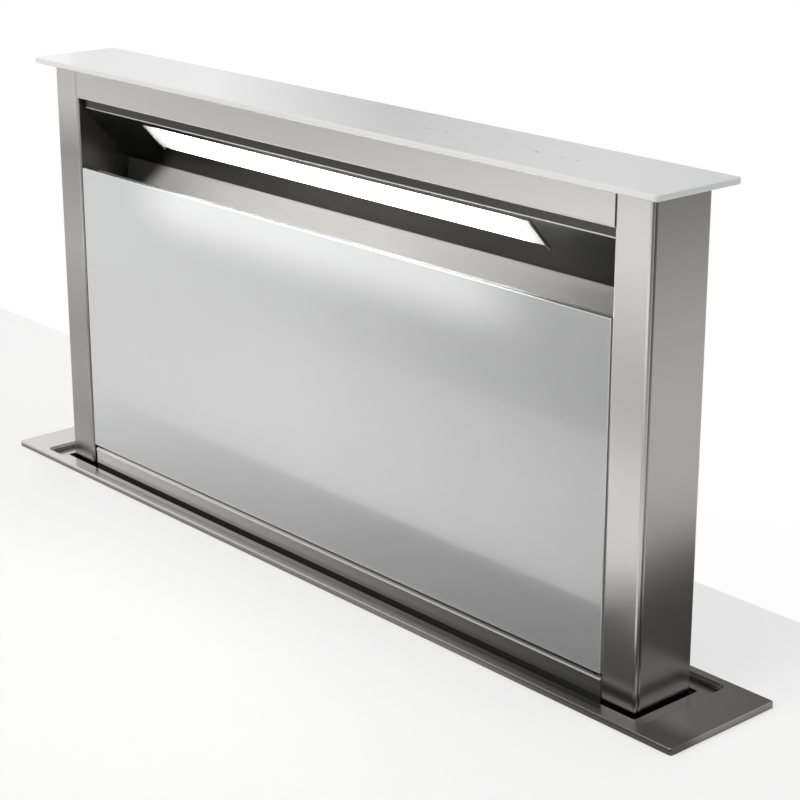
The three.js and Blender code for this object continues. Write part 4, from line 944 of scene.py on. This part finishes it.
def pale(name, color, near_white, far_white=None):
    """A plain pale surface that the camera sees nearly white, with the shadows left on it.

    near_white is how much of plain white is mixed into it by the unit, and far_white a few
    metres off, where no shadow of the unit reaches."""
    made, t = material(name)
    white = near_white
    if far_white is not None:
        away = t.add("ShaderNodeVectorMath", {0: t.place(LEVEL)}, operation="LENGTH").outputs["Value"]
        white = t.span(away, WHITE_FROM, WHITE_TO, to=(near_white, far_white), curve="SMOOTHSTEP")
    clouds = t.noise(6, detail=3)
    diffuse = t.add("ShaderNodeBsdfDiffuse", {"Color": t.mixed(clouds, tint(color, 0.99), color)})
    glow = t.add("ShaderNodeEmission", {"Color": (1, 1, 1, 1), "Strength": 1.0})
    seen = t.times(t.add("ShaderNodeLightPath").outputs["Is Camera Ray"], white)
    mix = t.add("ShaderNodeMixShader", {0: seen, 1: diffuse.outputs[0], 2: glow.outputs[0]})
    t.add("ShaderNodeOutputMaterial", {"Surface": mix.outputs[0]})
    return made


def worktop():
    """A slab of worktop with the unit's cut-out, its upper edges eased."""
    xs = [WORKTOP_X[0], -CUTOUT_X, CUTOUT_X, WORKTOP_X[1]]
    ys = [WORKTOP_Y[0], -CUTOUT_Y, CUTOUT_Y, WORKTOP_Y[1]]
    work = bmesh.new()
    grid = [[work.verts.new((x, y, 0)) for y in ys] for x in xs]
    for i in range(3):
        for j in range(3):
            if (i, j) != (1, 1):
                work.faces.new((grid[i][j], grid[i + 1][j], grid[i + 1][j + 1], grid[i][j + 1]))
    lower = bmesh.ops.extrude_face_region(work, geom=work.faces[:])["geom"]
    lower_verts = [item for item in lower if isinstance(item, bmesh.types.BMVert)]
    bmesh.ops.translate(work, vec=(0, 0, -WORKTOP_THICKNESS), verts=lower_verts)
    bmesh.ops.recalc_face_normals(work, faces=work.faces[:])
    rims = [edge for edge in work.edges
            if edge.calc_face_angle(0) > 1 and all(vert.co.z == 0 for vert in edge.verts)]
    bmesh.ops.bevel(work, geom=rims, offset=WORKTOP_EASE, segments=2, affect="EDGES")
    staged("worktop", work, pale("worktop", (0.94, 0.94, 0.94), near_white=0.46))


def floor():
    """The floor under the unit, which turns fully white farther off."""
    work = bmesh.new()
    bmesh.ops.create_grid(work, x_segments=1, y_segments=1, size=FLOOR_HALF,
                          matrix=Matrix.Translation((0, 0, cad_box[0].z - FLOOR_GAP)))
    staged("floor", work, pale("floor", (0.90, 0.90, 0.90), near_white=0.72, far_white=1.0))


def room():
    """A white room, which lights less than it looks."""
    world = bpy.data.worlds.new("studio")
    bpy.context.scene.world = world
    t = Tree(world)
    path = t.add("ShaderNodeLightPath").outputs
    mirrored = t.maths("ADD", path["Is Glossy Ray"], path["Is Transmission Ray"])
    shown = t.maths("ADD", path["Is Camera Ray"], mirrored, clamp=True)
    strength = t.maths("ADD", WORLD_LIGHT, t.times(shown, 1 - WORLD_LIGHT))
    background = t.add("ShaderNodeBackground", {"Color": (1, 1, 1, 1), "Strength": strength})
    t.add("ShaderNodeOutputWorld", {"Surface": background.outputs[0]})


def rectangle(x, y, z):
    """Corners of a flat card: one of x, y and z is where it lies, and the others are spans."""
    sides = [side if isinstance(side, tuple) else (side,) for side in (x, y, z)]
    first, second = [axis for axis in range(3) if len(sides[axis]) == 2]
    corners = []
    for at_first, at_second in ((0, 0), (1, 0), (1, 1), (0, 1)):
        corner = [side[0] for side in sides]
        corner[first] = sides[first][at_first]
        corner[second] = sides[second][at_second]
        corners.append(corner)
    return corners


def card(name, corners, axis, shades):
    """A studio card that only reflections show, shaded in even steps along an axis."""
    look, t = material(name)
    ends = [corner["xyz".index(axis)] for corner in corners]
    along = t.span(t.axes()[axis.upper()], min(ends), max(ends))
    stops = [(i / (len(shades) - 1), shade) for i, shade in enumerate(shades)]
    glow = t.add("ShaderNodeEmission", {"Color": t.ramp(along, stops), "Strength": 1.0})
    t.add("ShaderNodeOutputMaterial", {"Surface": glow.outputs[0]})
    work = bmesh.new()
    work.faces.new([work.verts.new(corner) for corner in corners])
    made = staged(name, work, look)
    for ray in ("camera", "diffuse", "shadow", "transmission", "volume_scatter"):
        setattr(made, "visible_" + ray, False)


RIGHT_WALL, FRONT_WALL, BACK_WALL = 1.6, -1.3, 1.2   # where the upright cards stand, in x, y and y
CARD_FOOT = -0.70
RIGHT_CARD_TOP, RIGHT_CARDS_END = 0.35, 3.2
FRONT_CARDS_X, FRONT_CARD_TOP = (-3.2, 0.6), -0.14
FLAG_Z = 0.001            # just over the worktop
FLAG_Y = -0.155           # front edge of the front flag, where the post's own one starts
FRAME_SIDE = 0.446        # just outside the frame's right end
FRAME_BACK = 0.062        # just behind the frame, and the same in front of it
FLAGS_END = 0.32          # how far back the flags beside and behind the frame reach
POST_FLAG_Y = -0.225      # front edge of the post's flag, which is slanted
POST_FLAG_FRONT_X, POST_FLAG_BACK_X = (0.174, 0.25), (0.236, 0.31)


def cards():
    """The room that the steel and the glass mirror: walls to the right, in front and behind."""
    card("card_right", rectangle(RIGHT_WALL, (-0.6, RIGHT_CARDS_END), (CARD_FOOT, RIGHT_CARD_TOP)), "z",
         [0.45, 0.62, 0.66, 0.48, 0.18, 0.10, 0.10])
    card("card_right_high", rectangle(RIGHT_WALL, (0.2, RIGHT_CARDS_END), (RIGHT_CARD_TOP, 0.95)), "z",
         [0.15, 0.30])
    card("card_front_low", rectangle(FRONT_CARDS_X, FRONT_WALL, (CARD_FOOT, FRONT_CARD_TOP)), "x",
         [0.9, 0.95, 0.85, 0.55, 0.45, 0.4])
    card("card_front_high", rectangle(FRONT_CARDS_X, FRONT_WALL, (FRONT_CARD_TOP, 0.05)), "x",
         [1.1, 1.05, 0.60, 1.3, 1.5, 1.5])
    card("card_back", rectangle((-2.3, 0.7), BACK_WALL, (0.15, 1.6)), "x",
         [0.75, 0.82, 0.20, 0.44, 0.22, 0.10, 0.08])


def flags():
    """Darker cards that lie on the worktop, for what the tower and the frame mirror at their feet."""
    card("flag_front", rectangle((-0.70, 0.46), (FLAG_Y, -FRAME_BACK), FLAG_Z), "x",
         [0.95, 0.75, 0.45, 0.20, 0.09, 0.06])
    front = [(x, POST_FLAG_Y, FLAG_Z) for x in POST_FLAG_FRONT_X]
    back = [(x, FLAG_Y, FLAG_Z) for x in reversed(POST_FLAG_BACK_X)]
    card("flag_post", front + back, "y", [0.30, 0.10])
    card("flag_right", rectangle((FRAME_SIDE, 0.60), (-0.30, FLAGS_END), FLAG_Z), "x",
         [0.07, 0.06, 0.07, 0.22])
    card("flag_back", rectangle((0.28, FRAME_SIDE), (FRAME_BACK, FLAGS_END), FLAG_Z), "x",
         [0.40, 0.12, 0.06, 0.06])


def area_light(name, at, aim, size, power, color=(1, 1, 1), mirrored=True):
    """A rectangular light. mirrored is whether the steel and the glass show it."""
    data = bpy.data.lights.new(name, "AREA")
    data.shape = "RECTANGLE"
    data.size, data.size_y = size
    data.energy = power
    data.color = color
    made = bpy.data.objects.new(name, data)
    made.location = at
    made.rotation_mode = "QUATERNION"
    made.rotation_quaternion = (Vector(aim) - Vector(at)).to_track_quat("-Z", "Y")
    made.visible_glossy = mirrored
    bpy.context.scene.collection.objects.link(made)


def lights():
    """A key light high in front, and weaker ones above, to the right and behind."""
    area_light("key", (-0.6, -2.4, 2.6), aim=(0, 0, 0.15), size=(2.4, 1.4), power=48,
               color=(1.0, 0.985, 0.965))
    area_light("top", (0.2, 0.4, 3.0), aim=(0, 0, 0), size=(3.0, 2.0), power=20, mirrored=False)
    area_light("side", (3.0, 0.2, 1.1), aim=(0, 0, 0), size=(1.6, 1.8), power=8,
               color=(0.97, 0.985, 1.0))
    area_light("back", (-1.4, 2.8, 1.6), aim=(0, 0, -0.1), size=(2.4, 1.6), power=18, mirrored=False)


# ------------------------------------------------------------------ camera

CAMERA_AT = (1.3084, -1.0814, 0.7128)
CAMERA_TURN = 48.63       # degrees from +Y towards -X
CAMERA_TILT = 17.36       # degrees below the horizon
FOCAL_PIXELS = 2066       # focal length in pixels of a picture as wide as PICTURE_PIXELS
PICTURE_PIXELS = 800
SENSOR_WIDTH = 36         # mm
CAMERA_SHIFT = -0.05      # in picture widths


def camera():
    """The view of the unit from its right front, a little from above."""
    data = bpy.data.cameras.new("camera")
    data.sensor_width = SENSOR_WIDTH
    data.lens = FOCAL_PIXELS / PICTURE_PIXELS * SENSOR_WIDTH
    data.shift_y = CAMERA_SHIFT
    made = bpy.data.objects.new("camera", data)
    made.location = CAMERA_AT
    made.rotation_euler = (math.radians(90 - CAMERA_TILT), 0, math.radians(CAMERA_TURN))
    bpy.context.scene.collection.objects.link(made)
    bpy.context.scene.camera = made


camera()
lights()
cards()
flags()
worktop()
floor()
room()
bpy.context.scene.view_settings.view_transform = "Standard"
